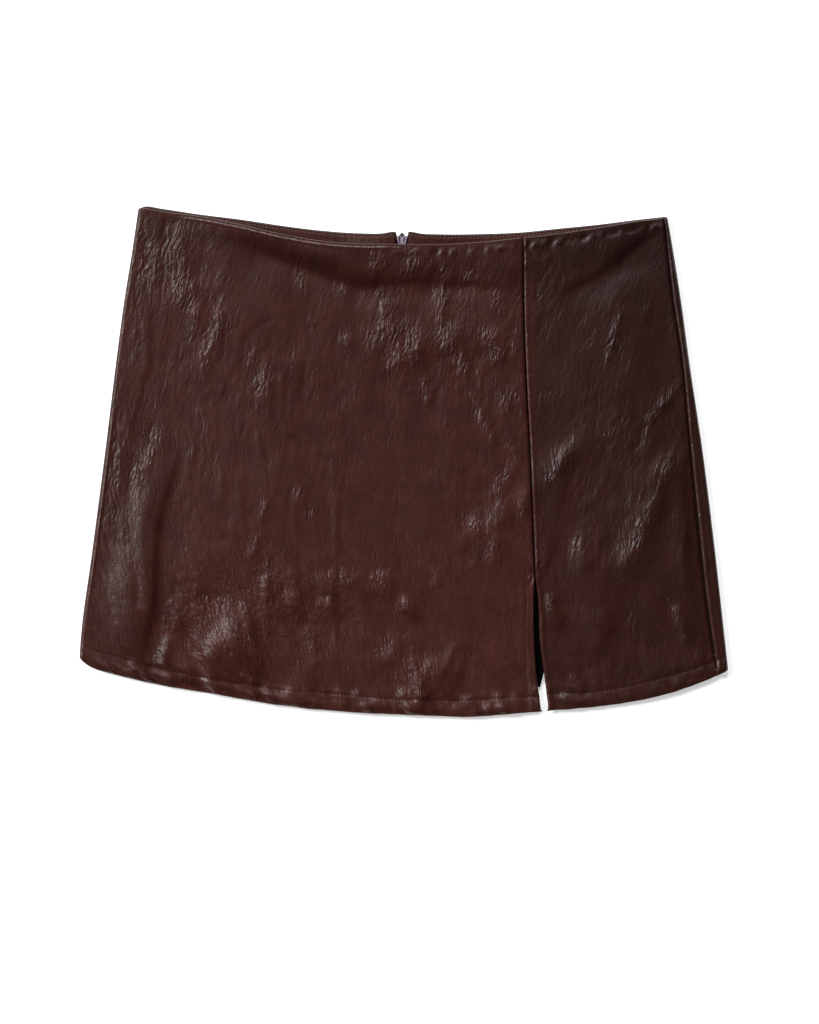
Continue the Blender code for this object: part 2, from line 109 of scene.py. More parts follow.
# largest folds of the front, as in the solids: a ridge, or a trough below zero, between two points
largeFolds = table("x1 y1 x2 y2 width height", [
    (-180, 160, -174, 128, 8, 0.8), (-160, -132, -150, -150, 7, 1.2), (-138, -78, -122, -122, 22, 1.3),
    (-96, 92, -160, 120, 15, 0.9), (-84, 60, -90, -40, 16, 0.6), (-78, -160, -66, -150, 10, 1),
    (-62, 147, 60, 145, 8, 0.8), (-12, 82, 66, 86, 14, 1), (-10, -30, 16, -90, 20, -0.5),
    (8, -150, 34, -146, 13, 1.2), (54, -50, 88, -24, 9, 1.1), (98, -12, 128, 14, 9, 1.1),
    (112, -60, 98, -24, 9, -0.7), (128, -70, 138, -130, 13, 0.7), (176, 40, 150, 100, 12, 0.7),
    (182, -8, 160, -70, 11, 1.3),
])
# small folds and creases of the worn-in surface
smallFolds = table("x1 y1 x2 y2 width height", [
    (-198, 9, -199, -15, 3, 0.7), (-197, -28, -196, -49, 3, 0.4), (-191, -7, -189, -45, 4, -0.8),
    (-189, -141, -188, -145, 2.5, 0.7), (-189, -49, -185, -98, 4, -0.8), (-186, -7, -187, -32, 4, 0.8),
    (-178, -145, -172, -156, 3, -0.9), (-178, 5, -180, -34, 4, 0.9), (-176, 26, -181, 10, 2.5, -0.6),
    (-175, 162, -173, 131, 4, 0.7), (-168, 7, -173, -10, 3, 0.4), (-168, 135, -170, 114, 2, -0.5),
    (-168, 167, -144, 164, 3, -0.5), (-166, -143, -163, -151, 3, 0.8), (-166, -126, -168, -140, 3, 0.9),
    (-160, -98, -155, -117, 5, 0.8), (-159, 126, -155, 115, 4, 0.8), (-159, 149, -152, 138, 5, 0.6),
    (-154, -155, -137, -162, 3, -0.8), (-154, -119, -140, -161, 5, -0.9), (-151, 123, -145, 106, 1.8, -0.5),
    (-149, 125, -144, 104, 2.5, 0.6), (-145, -106, -138, -134, 6, 0.7), (-144, 164, -136, 151, 2.5, -0.4),
    (-138, -154, -125, -164, 3, 0.9), (-136, 160, -132, 150, 2.2, 0.45), (-132, -126, -135, -149, 5, 0.7),
    (-132, 97, -138, 79, 2, -0.6), (-128, 91, -130, 76, 3.5, 0.8), (-128, 103, -121, 99, 5, 0.7),
    (-126, -160, -119, -166, 2.5, -0.7), (-124, -98, -117, -126, 4, 0.6), (-122, 86, -112, 84, 1.5, -0.35),
    (-115, -133, -105, -154, 4, 0.6), (-111, -105, -104, -133, 5, 0.6), (-110, 58, -115, 41, 3, 0.4),
    (-110, 90, -93, 99, 1.8, -0.6), (-107, -155, -104, -162, 2.5, 0.7), (-104, 82, -107, 65, 2.5, 0.4),
    (-103, -54, -106, -67, 3, 0.6), (-100, -32, -103, -50, 2.5, 0.4), (-97, -106, -94, -126, 3, 0.4),
    (-97, -24, -93, -36, 3.5, 0.7), (-97, 15, -93, -1, 2, -0.6), (-97, 55, -94, 45, 3, 0.6),
    (-96, -159, -92, -168, 2.5, 0.7), (-96, 74, -98, 56, 3, 0.5), (-94, -63, -97, -101, 3, 0.5),
    (-86, 4, -89, -11, 3, 0.4), (-83, 34, -82, 19, 2.5, 0.4), (-83, 53, -82, 39, 2, -0.4),
    (-78, -161, -71, -168, 4, 0.8), (-78, -80, -72, -107, 5, 0.7), (-76, 71, -73, 57, 4, 0.5),
    (-76, 133, -49, 119, 4, 0.5), (-75, 45, -72, 37, 3, 0.4), (-74, -12, -69, -30, 2.5, 0.6),
    (-73, 22, -72, 6, 2, -0.45), (-69, 67, -70, 50, 2, -0.4), (-68, -159, -61, -169, 3, 0.7),
    (-66, -118, -61, -140, 4, 0.6), (-61, -37, -57, -51, 4, 0.5), (-57, -83, -50, -105, 5, 0.7),
    (-46, 67, -43, 39, 1.8, -0.45), (-44, -162, -40, -169, 3, 0.6), (-44, -31, -45, -80, 1.8, -0.4),
    (-40, 122, -35, 115, 3, 0.6), (-38, -79, -29, -94, 4, 0.5), (-36, 89, -26, 72, 2.5, 0.6),
    (-33, -164, -26, -172, 4, 0.9), (-33, 113, -33, 92, 1.5, -0.3), (-27, 78, -25, 69, 2, -0.4),
    (-25, 115, 2, 111, 6, 0.8), (-24, 92, -17, 80, 4, 0.6), (-20, -168, -14, -173, 3, 0.7),
    (-13, -82, 4, -101, 5, 0.5), (-8, 79, 2, 61, 6, 0.9), (-1, -165, 7, -174, 4, 0.9), (2, -100, 7, -108, 4, 0.8),
    (2, 96, 14, 80, 6, 0.8), (7, -145, 14, -162, 6, 0.9), (10, 138, 23, 133, 4.5, 0.8), (11, -78, 17, -83, 3, -0.5),
    (13, -168, 21, -175, 4, 0.8), (13, 56, 18, 44, 3, 0.5), (16, 88, 22, 76, 3, 0.5), (20, -143, 27, -159, 5, 1),
    (21, -77, 25, -84, 3, 0.5), (27, 98, 36, 88, 5, 0.8), (28, 119, 42, 112, 4, 0.5), (33, 78, 45, 60, 3.5, 0.7),
    (35, -131, 28, -147, 3, 0.5), (36, -43, 40, -52, 3, 0.4), (45, -167, 50, -175, 3.5, 0.9),
    (46, -136, 43, -154, 4, -0.5), (48, -38, 55, -47, 5, 0.8), (49, 46, 63, 15, 3.5, 0.5), (51, -8, 53, -12, 3, 0.4),
    (51, 119, 60, 104, 3, 0.5), (57, -48, 64, -67, 4.5, 1), (62, 130, 64, 123, 3, 0.5), (64, 88, 68, 73, 4.5, 0.9),
    (67, -166, 74, -175, 4, 0.9), (70, 50, 73, 41, 3.5, 0.7), (72, 25, 84, 7, 3, 0.45), (73, 91, 78, 56, 5, -0.4),
    (77, 49, 84, 37, 3, 0.6), (77, 87, 79, 77, 3, 0.5), (78, -166, 82, -172, 3, 0.6), (78, 126, 80, 121, 2.5, 0.5),
    (80, 0, 69, -22, 3.5, 0.8), (85, -23, 87, -43, 2.5, 0.6), (103, -97, 108, -112, 3.5, 0.8),
    (113, -164, 120, -171, 3, 0.8), (113, 6, 102, -27, 3.5, 0.7), (116, 8, 107, -4, 4, 0.7),
    (117, -32, 113, -70, 7, -0.7), (120, -151, 124, -161, 3, 0.5), (121, 17, 123, 10, 3, 0.5),
    (125, -52, 127, -70, 4, 0.7), (128, -166, 134, -170, 3, 0.6), (133, -148, 136, -155, 3, 0.5),
    (140, -105, 145, -116, 3, 0.5), (142, -67, 141, -73, 3, 0.4), (148, 32, 138, 17, 3, 0.5),
    (151, 21, 145, 8, 2, 0.4), (153, -6, 154, -27, 3, -0.5), (153, 105, 144, 73, 3, 0.7),
    (168, -54, 166, -67, 3, 0.5), (168, 25, 162, 11, 5, -0.5), (172, 108, 168, 100, 3, 0.4),
    (173, 30, 172, 7, 3, 0.6), (177, -23, 176, -32, 2.5, 0.5), (179, 1, 172, -16, 4, 0.8),
    (183, -28, 163, -62, 5, 0.6), (186, -1, 178, -22, 3, 0.7), (189, 5, 185, -9, 4, 0.8),
    (191, 53, 173, 30, 3.5, 0.9), (192, -104, 199, -123, 3.5, 0.8), (192, 16, 190, 10, 2.5, 0.4),
])

# the waist stands up: how high, how far below the edge the slope down from it lies, and half the slope's width
waistStand = table("x rise below half", [
    (-186, 0, 12, 9), (-150, 0.6, 12, 9), (-128, 2.6, 10, 8), (-105, 4.8, 10.5, 8), (-80, 5.8, 13, 9),
    (-51, 5.8, 18, 9.5), (-27, 4.6, 25, 8), (8, 2.9, 24, 8), (30, 1.9, 24, 9), (50, 1.6, 26, 10), (75, 2, 27, 10),
    (95, 1.2, 25, 9), (130, 1.2, 20, 9), (160, 2, 14, 8), (185, 1, 12, 8),
])
# where the surface is more crumpled, or calmer below zero
restless = [
    (-115, -118, 70, 45, 1.9), (-195, -20, 16, 70, 0.6), (30, 82, 60, 24, 0.9), (150, -20, 30, 60, 0.3),
    (15, -150, 45, 22, 0.9), (-165, 130, 30, 40, 0.4), (20, 128, 40, 12, 1), (62, -45, 25, 25, 0.8),
    (-70, 105, 45, 28, -0.75), (-10, -10, 80, 45, -0.45), (120, -110, 30, 30, -0.3), (-120, -30, 40, 30, -0.3),
]

# long folds, each a ridge, or a trough below zero, along a path of points: its rise, then how far it reaches on its
# gentle side and on its steep side
longFolds = [(sign, table("x y rise gentle steep", rows)) for sign, rows in [
    (-1, [  # below the waist, at the left
        (-120, 147, 0, 9, 6), (-90, 140, 1, 10, 6), (-60, 129, 1.7, 10, 5.5), (-30, 118, 2, 9, 4.5),
        (8, 122, 1.5, 8, 4), (46, 122, 1.2, 8, 3.5), (78, 119, 0, 7, 3),
    ]),
    (1, [  # broad ridge beside the left side
        (-163, 12, 0, 12, 4), (-173, -11, 0.5, 34, 6), (-180, -30, 1.2, 48, 8), (-184, -48, 1.8, 54, 10),
        (-185, -69, 2.3, 54, 12), (-186, -90, 2.4, 54, 13), (-189, -111, 2.1, 46, 12.5), (-194, -128, 1.2, 34, 11),
        (-199, -142, 0, 12, 9),
    ]),
    (1, [  # darkest line on its right
        (-157, 8, 0, 8, 2), (-164, -11, 1.3, 16, 2.4), (-170.5, -30, 1.9, 20, 3), (-174.5, -48, 2.3, 26, 3.6),
        (-176, -69, 2.6, 30, 4), (-177, -90, 2.6, 30, 4.2), (-180, -111, 2.3, 26, 4.6), (-184, -128, 1.5, 18, 4.8),
        (-190, -143, 0, 7, 4.6),
    ]),
    (1, [  # crease above it
        (-177.4, 120.2, 0, 5.1, 1.9), (-179.5, 99.2, 1.2, 6.8, 2.6), (-178.8, 69.8, 1.1, 6, 2.1),
        (-184.4, 51.6, 1.3, 6, 1.8), (-190.8, 23.6, 1.2, 6, 2), (-196.3, -5, 0, 5.1, 1.9),
    ]),
    (1, [  # outer fold at the left
        (-195.6, 15, 0, 5.1, 2.2), (-199.8, -12.8, 0.6, 5.1, 2.6), (-199.1, -47.8, 0.4, 5.1, 3),
        (-197, -88, 0, 5.1, 3),
    ]),
    (-1, [  # right panel, from the seam towards the side
        (107, 113, 0, 10, 4.5), (135, 126, 2.4, 12, 5), (157, 141, 3.4, 12, 6), (178, 156, 1.8, 11, 5),
        (190, 164, 0, 9, 5),
    ]),
    (1, [  # towards the side seam
        (196.3, 22.2, 0, 6.8, 3), (194.2, -19.8, 1.1, 7.6, 3.8), (195.6, -68.8, 1.2, 7.6, 3.8),
        (203, -140, 0, 6.8, 3.8),
    ]),
    (1, [  # towards the slit
        (72.4, -5.8, 0, 6.8, 3.8), (68.2, -40.8, 0.9, 7.6, 4.5), (73.1, -75.8, 0, 6.8, 3.8),
    ]),
    (1, [  # above the hem
        (-155, -128.3, 0, 5.1, 3), (-149.4, -144.4, 1.4, 6, 3.8), (-135, -164, 0, 5.1, 3),
    ]),
    (1, [  # narrow panel, low
        (142.4, -68.8, 0, 7.6, 3.8), (135.4, -110.8, 0.8, 8.5, 5.2), (139.6, -147.2, 0, 6.8, 4.5),
    ]),
]]
# places where the surface leans towards the waist and the left, so that they catch the light, or away below zero
tiltedSpots = table("x y across along lean slope", [
    (-202, -9, 3.5, 20, 5, 0.12), (-194, -27, 2.8, 23.8, 0, -0.12), (-187, 82, 3.5, 12.6, 8, 0.12),
    (-184, 0, 5, 14, 10, 0.12), (-179, 143, 5.6, 19.6, 0, 0.16), (-173, 12, 4.2, 12.6, 20, 0.12),
    (-169, -135, 4.9, 7, 0, 0.34), (-162, 148, 9.1, 14, 10, 0.13), (-160, -125, 4.2, 9.8, -20, -0.15),
    (-159, -105, 6.3, 9.8, 0, 0.17), (-156, 123, 7.7, 14, -5, 0.18), (-149, -6, 3.5, 15.4, 10, -0.06),
    (-148, -88, 4.2, 7, 10, 0.12), (-148, 104, 5.6, 12.6, 0, 0.12), (-138, -135, 9.1, 8.4, 0, 0.16),
    (-138, 80, 4.2, 11.2, 8, 0.16), (-131, 98, 5.6, 16.8, 12, 0.17), (-127, -27, 3.5, 18.2, 0, -0.1),
    (-122, -115, 26, 19, 80, 0.29), (-114, -41, 2.8, 21, 0, -0.08), (-106, -139, 7.7, 9.1, -10, 0.13),
    (-106, 77, 4.2, 8.4, 15, 0.08), (-104, -58, 2.8, 7.7, 15, 0.16), (-100, 54, 6.3, 12.6, 5, 0.12),
    (-99, 8, 2.1, 9.8, -15, -0.15), (-98, -32, 3.5, 8.4, 15, 0.13), (-96, -79, 2.8, 12.6, 5, 0.13),
    (-94, -82, 12, 8, 80, 0.14), (-84, 49, 2.1, 14, -5, -0.14), (-82, -125, 2.8, 8.4, 5, 0.1),
    (-79, -94, 9.1, 7.7, 90, 0.2), (-77, 70, 3.5, 7, 0, 0.08), (-74, -58, 2.8, 28, -5, -0.1),
    (-73, -23, 3.5, 8.4, -20, 0.19), (-72, 128, 11.2, 4.2, 80, 0.14), (-71, 61, 2.1, 16.8, 0, -0.12),
    (-66, -35, 3.5, 5.6, -15, 0.12), (-64, 98, 2.8, 4.2, 0, 0.1), (-63, -125, 4.9, 7.7, 0, 0.13),
    (-55, -97, 6.3, 7, 90, 0.2), (-51, 5, 4.2, 11.2, 0, 0.05), (-48, -82, 10, 7, 85, 0.14),
    (-46, -69, 2.1, 35, -2, -0.12), (-44, 122, 8.4, 4.2, 70, 0.16), (-42, 40, 2.1, 16.8, -5, -0.14),
    (-41, 85, 3.5, 5.6, -30, 0.12), (-36, -84, 6.3, 6.3, 0, 0.09), (-34, 82, 2.1, 11.2, -25, -0.15),
    (-19, 140, 8.4, 5.6, 80, 0.16), (-18, -81, 9.1, 14, -10, 0.11), (-13, -133, 9, 9, 20, 0.2),
    (-13, 91, 11.9, 7, -30, 0.15), (-13, 113, 14, 5.6, 88, 0.18), (-6, 73, 6.3, 8.4, 20, 0.2),
    (-1, -101, 6.3, 7, -30, 0.17), (5, 140, 9.8, 5.6, 90, 0.16), (7, 82, 6.3, 14, 5, 0.17),
    (9, -153, 16.8, 7, 85, 0.27), (15, 50, 4.2, 9.1, -10, 0.13), (20, 138, 5.6, 4.9, 90, 0.12),
    (23, -81, 2.8, 5.6, 0, 0.12), (26, 118, 18.2, 4.9, 90, 0.15), (30, 88, 7.7, 9.8, -5, 0.2),
    (40, 70, 4.2, 9.8, -15, 0.14), (41, -139, 4.2, 8.4, 25, 0.08), (45, 129, 3.5, 6.3, 15, 0.14),
    (48, -41, 4.9, 6.3, -10, 0.17), (54, 32, 3.5, 14, -28, 0.13), (59, 87, 6.3, 6.3, 0, 0.16),
    (60, -55, 5.6, 11.2, -15, 0.25), (64, 113, 9.8, 5.6, 80, 0.08), (65, 75, 5.6, 5.6, 0, 0.13),
    (69, -12, 4.2, 11.2, 30, 0.18), (70, 43, 4.2, 7.7, -5, 0.16), (73, 11, 2.8, 12.6, -45, 0.1),
    (77, 81, 3.5, 7.7, 5, 0.12), (78, 45, 2.8, 9.8, -25, 0.12), (83, -32, 2.8, 9.8, 0, 0.22),
    (101, -69, 3.5, 12.6, 5, -0.15), (102, -102, 3.5, 8.4, -10, 0.17), (104, -9, 4.2, 14, 28, 0.16),
    (110, -27, 4.9, 15.4, 12, -0.14), (113, 8, 5.6, 9.8, 20, 0.16), (120, -154, 7, 4.2, 80, 0.12),
    (121, -59, 4.2, 6.3, 0, 0.18), (138, -58, 7, 21, 15, -0.1), (140, -125, 7, 19.6, 20, -0.1),
    (143, 77, 2.1, 8.4, 5, 0.12), (146, 21, 2.8, 12.6, 40, 0.1), (149, 94, 2.8, 14, 18, 0.17),
    (159, -107, 3.5, 15.4, -22, 0.09), (160, -58, 5.6, 15.4, 25, 0.12), (169, 106, 2.8, 5.6, 10, 0.09),
    (170, 22, 3.5, 12.6, 5, 0.12), (174, -30, 5.6, 25.2, 24, 0.13), (182, -4, 7, 8.4, 20, 0.15),
    (182, 42, 4.2, 15.4, 35, 0.2), (191, -109, 2.8, 11.2, -25, 0.14), (196, 5, 3.5, 8.4, 10, 0.12),
])


def read(rows, column, at):
    # a column as a smooth curve along the table's first column
    keys = next(iter(rows.values()))
    values = rows[column]
    slopes = np.gradient(values, keys)
    at = np.clip(at, keys[0], keys[-1])
    i = np.clip(np.searchsorted(keys, at) - 1, 0, len(keys) - 2)
    step = keys[i + 1] - keys[i]
    t = (at - keys[i]) / step
    start = (1 + 2 * t) * (1 - t) ** 2 * values[i] + t * (1 - t) ** 2 * step * slopes[i]
    return start + t * t * (3 - 2 * t) * values[i + 1] + t * t * (t - 1) * step * slopes[i + 1]


def ramp(value, start, end):
    t = np.clip((value - start) / (end - start), 0, 1)
    return t * t * (3 - 2 * t)


def mix(a, b, share):
    return a + (b - a) * share


def bell(distance, width):
    return np.exp(-((distance / width) ** 2))


seeds = {"crumple": 11, "backHem": 21, "pucker": 31, "dimple": 41, "ridge": 43, "shorts": 51, "facing": 61}


def noise(x, y, seed):
    # smooth gradient noise, about -1 to 1, with features about one unit across
    angles = np.random.default_rng(seed).random((64, 64)) * 2 * math.pi
    x, y = np.broadcast_arrays(x, y)
    column, row = np.floor(x).astype(int), np.floor(y).astype(int)
    fx, fy = x - column, y - row

    def corner(i, j):
        angle = angles[(column + i) % 64, (row + j) % 64]
        return np.cos(angle) * (fx - i) + np.sin(angle) * (fy - j)

    sx, sy = ramp(fx, 0, 1), ramp(fy, 0, 1)
    return 1.5 * mix(mix(corner(0, 0), corner(1, 0), sx), mix(corner(0, 1), corner(1, 1), sx), sy)


# Centre back zip
zipPart = {
    "x": -1.0,
    "length": 180.0,
    "tapeReach": 13.0,  # outer edge of a tape from the zip's line
    "tapeStepReach": 48.0,  # where the layers above are down on the back again
    "coilHalf": 1.3,
    "notchHalf": 4.1,
    "notchDepth": 11.5,
    "lift": 2.1,  # the back stands this far off the surface, over the pull tab
    "liftHalf": 5.0,
    "liftReach": 50.0,
    "liftLow": 137.0,
    "liftEnd": 100.0,
    "sliderY": 155.75,
    "sliderLength": 9.1,
    "sliderWidth": 7.0,
}
zipX = zipPart["x"]
waistAtZip = float(read(waist, "back", zipX))


def zipLift(x, y):
    across = ramp(np.abs(x - zipX), zipPart["liftReach"], zipPart["liftHalf"])
    return zipPart["lift"] * across * ramp(y, zipPart["liftEnd"], zipPart["liftLow"])


def overZip(x, y):
    across = ramp(np.abs(x - zipX), zipPart["tapeStepReach"], zipPart["tapeReach"])
    tapeEnd = waistAtZip - zipPart["length"]
    return (layers["tape"] + gap) * across * ramp(y, tapeEnd - 50, tapeEnd - 25) + zipLift(x, y)


def foldsOf(rows, x, y):
    total = 0.0 * x
    for x1, y1, x2, y2, width, height in zip(*rows.values()):
        reach = 2.6 * width
        near = (np.minimum(x1, x2) - reach < x) & (x < np.maximum(x1, x2) + reach)
        near &= (np.minimum(y1, y2) - reach < y) & (y < np.maximum(y1, y2) + reach)
        px, py = x[near], y[near]
        along = ((px - x1) * (x2 - x1) + (py - y1) * (y2 - y1)) / ((x2 - x1) ** 2 + (y2 - y1) ** 2)
        along = np.clip(along, 0, 1)
        off = np.hypot(px - mix(x1, x2, along), py - mix(y1, y2, along))
        total[near] += height * bell(off, width)
    return total


def longFoldsOf(folds, x, y):
    # ridges and troughs with one steep side, on the left of the way their path goes
    total = 0.0 * x
    for sign, rows in folds:
        points = np.stack([rows["x"], rows["y"]], -1)
        nearest, found, side = np.full(x.shape, 1e9), np.zeros(x.shape), np.zeros(x.shape)
        for i in range(len(points) - 1):
            ax, ay = points[i]
            vx, vy = points[i + 1] - points[i]
            t = np.clip(((x - ax) * vx + (y - ay) * vy) / (vx * vx + vy * vy), 0, 1)
            off = np.hypot(x - ax - t * vx, y - ay - t * vy)
            closer = off < nearest
            nearest = np.where(closer, off, nearest)
            found = np.where(closer, i + t, found)
            side = np.where(closer, np.sign((x - ax) * vy - (y - ay) * vx), side)
        steps = np.arange(len(points))
        rise, gentle, steep = (np.interp(found, steps, rows[name]) for name in ("rise", "gentle", "steep"))
        total += sign * rise * bell(nearest, np.where(side < 0, steep, gentle))
    return total


def leansOf(rows, x, y):
    # low swellings, each with its slope on the side that the table asks for, and where they are
    total, covered = 0.0 * x, 0.0 * x
    for px, py, across, along, lean, slope in zip(*rows.values()):
        slope = slope * (crumple["narrowLeans"] if px > 92 and slope > 0 else 1)
        far = 2.4 * max(across, along)
        near = (np.abs(x - px) < far) & (np.abs(y - py) < far)
        dx, dy = x[near] - px, y[near] - py
        s, c = math.sin(math.radians(lean)), math.cos(math.radians(lean))
        shape = bell(dx * c - dy * s, across) * bell(dx * s + dy * c, along)
        wayX, wayY = -0.35 - c, 0.6 + s
        towards = (wayX * dx + wayY * dy) / math.hypot(wayX, wayY)
        total[near] += abs(slope) * (0.5 * min(across, along) - math.copysign(1, slope) * towards) * shape
        covered[near] += min(max(slope, 0) / crumple["fullLean"], 1) * shape
    return total, np.minimum(covered, 1)


def restlessAt(x, y):
    share = 1.0
    for px, py, across, along, amount in restless:
        share = share + amount * bell(np.hypot((x - px) / across, (y - py) / along), 1)
    return np.maximum(share, 0.1)


# How the worn-in surface is crumpled
crumple = {
    "swell": 0.46,  # broad unevenness
    "swellSize": 22.0,
    "swellDrawn": 2.0,  # this much longer than wide
    "ripple": 0.16,
    "rippleSize": 9.5,
    "rippleDrawn": 2.8,
    "crease": 0.3,  # narrow creases that run nearly up and down
    "creaseWidth": 4.6,
    "creaseLength": 19.0,
    "patchSize": 40.0,  # creases gather in patches of this size
    "folds": 0.5,  # share of the small folds' heights
    "lowFolds": 1.5,
    "hemFolds": 2.0,
    "leans": 0.75,
    "narrowLeans": 0.75,  # share of their slope on the narrow panel
    "fullLean": 0.15,  # at this slope a place is crumpled all over
    "lowLeans": 1.4,  # the leaning places are steeper near the hem
    "lean": 16.0,  # degrees that creases lean to the right at the waist, and to the left at the hem
    "lowLean": 16.0,  # degrees more to the left, low on the left
    "narrowLean": 6.0,  # degrees more on the narrow panel
    "warp": (5.0, 7.0),  # how far the creases wander, across and along
    "nearSeams": 0.45,  # share of the crumple left beside a seam
}


def leaned(x, y, narrow):
    # sideways shift that makes upright creases lean
    bend = math.radians(crumple["lean"]) / 170
    low = np.maximum(-y - 45, 0)
    bent = bend * y * y / 2 + math.tan(math.radians(crumple["lowLean"])) * low * low / (low + 20) * ramp(x, 30, -90)
    return x - bent - narrow * math.tan(math.radians(crumple["narrowLean"])) * y


def crumpled(x, y):
    seed = seeds["crumple"]
    narrow = ramp(x, 86, 94)
    wx = leaned(x, y, narrow) + crumple["warp"][0] * noise(x / 21, y / 30, seed)
    wy = y + crumple["warp"][1] * noise(x / 26, y / 26, seed + 1)
    swell = noise(wx / crumple["swellSize"], wy / (crumple["swellDrawn"] * crumple["swellSize"]), seed + 2)
    ripple = noise(wx / crumple["rippleSize"], wy / (crumple["rippleDrawn"] * crumple["rippleSize"]), seed + 3)
    across, along = wx / crumple["creaseWidth"], wy / crumple["creaseLength"]
    crease = 1 - 1.7 * np.abs(noise(across, along, seed + 4))
    finer = 1 - 2.0 * np.abs(noise(1.9 * across, 1.7 * along, seed + 5))
    patch = ramp(noise(x / crumple["patchSize"], y / crumple["patchSize"], seed + 6), -0.35, 0.45)
    restlessHere = restlessAt(x, y)
    patch = restlessHere * (0.1 + patch) + 0.8 * leansOf(tiltedSpots, x, y)[1]
    creased = -crumple["crease"] * patch * (np.maximum(crease, 0) ** 2 + 0.5 * np.maximum(finer, 0) ** 2)
    return crumple["swell"] * swell + crumple["ripple"] * np.minimum(restlessHere, 2) * ripple + creased + 0.1


# The front's sewn edges
frontEdge = {
    "waistRoll": 0.55,  # the turned waist edge is rounded over this distance
    "waistDepth": 1.0,
    "waistRidge": 0.62,
    "dimple": 1.5,  # pulled spots below the waist edge
    "dimplePitch": 4.6,
    "hemTurn": 1.14,  # radius of the turned hem's edge
    "hemFlap": 12.5,
    "backHemFlap": 10.0,
    "allowance": 0.1,  # the doubled hem stands proud by this
    "groove": 0.25,  # the stitch row is sunk by this
    "pucker": 1.9,
    "puckerPitch": 8.5,
    "wideStitch": (5.6, 8.0),  # stitch row along the slit, from its edge, at the slit's top and at the hem
    "narrowStitch": (3.9, 4.1),
    "slitTop": -78.0,
    "opens": (-74.0, -84.0),  # the seam's edges become the slit's between these heights
    "slitX": 92.2,
    "slitAllowance": 0.12,
    "slitGroove": 0.14,
    "fan": 0.6,  # puckers that fan out from the slit's top
    "wideRoll": (2.5, 2.0),  # reach and depth of each rounded edge at a seam
    "narrowRoll": (0.7, 0.8),
    "sideRoll": (2.4, 1.9),
    "backRoll": (0.8, 0.9),
    "underRoll": (0.8, 0.7),
    "zipRoll": (0.8, 0.5),
    "backWaistRoll": (1.3, 1.15),
    "backRow": 9.5,  # stitch row of the back hem
    "backWander": 0.25,
    "wear": 0.6,  # rubbed edges, lightened; the lighter edges also paint thin highlights along them
    "wearReach": 1.2,
    "seamRidge": 0.4,
    "sideSink": 1.5,  # how far the side seam lies down where it is in shade
    "sideRidge": 0.5,
    "pressedLine": 0.45,  # along the left side
}


def roll(distance, reach, depth):
    # how far a rounded edge has turned down at this distance from its end
    t = np.clip(1 - distance / reach, 0, 1)
    return depth * (1 - np.sqrt(1 - t * t))


def slitStitchAt(panel, y):
    top, low = frontEdge[panel + "Stitch"]
    return mix(top, low, ramp(y, frontEdge["slitTop"], -165))


def hemDrop(x, y):
    return ramp(read(hem, "back", x) - y, -4, layers["hemDropReach"])


def frontBase(x, y):
    # upper face over the layers that lie beneath, with the largest folds
    inFromSide = np.minimum(x - read(sides, "left", y), read(sides, "right", y) - x)
    rightward = ramp(x, -60, 60)
    near = ramp(inFromSide, radius, mix(layers["loftReach"], layers["rightReach"], rightward))
    drop = hemDrop(x, y)
    loft = layers["loft"] * near * ramp(y - read(hem, "back", x), 0, 70)
    free = mix(2 * radius + loft, layers["hemHeight"], drop)
    shaped = foldsOf(largeFolds, x, y) + longFoldsOf(longFolds, x, y)
    shaped = shaped + crumple["leans"] * mix(1, crumple["lowLeans"], ramp(y, -50, -90)) * leansOf(tiltedSpots, x, y)[0]
    free += shaped * ramp(inFromSide, radius, radius + mix(*layers["foldReach"], rightward))
    below, half = read(waistStand, "below", x), read(waistStand, "half", x)
    stand = read(waistStand, "rise", x) * ramp(read(waist, "front", x) - y, below + half, below - half)
    free += stand * ramp(inFromSide, radius, radius + 25)
    facingZone = ramp(waistAtZip - y, *layers["facingEnds"])
    least = mix(frontLeast + 0.3, layers["hemHeight"] - 0.1, drop) + overZip(x, y)
    least -= facingZone * (shortsFrontTop - facingTop) * near
    least += frontEdge["waistDepth"] * ramp(read(waist, "front", x) - y, 16, 5) * near
    return (free + least + np.sqrt((free - least) ** 2 + layers["softStep"])) / 2


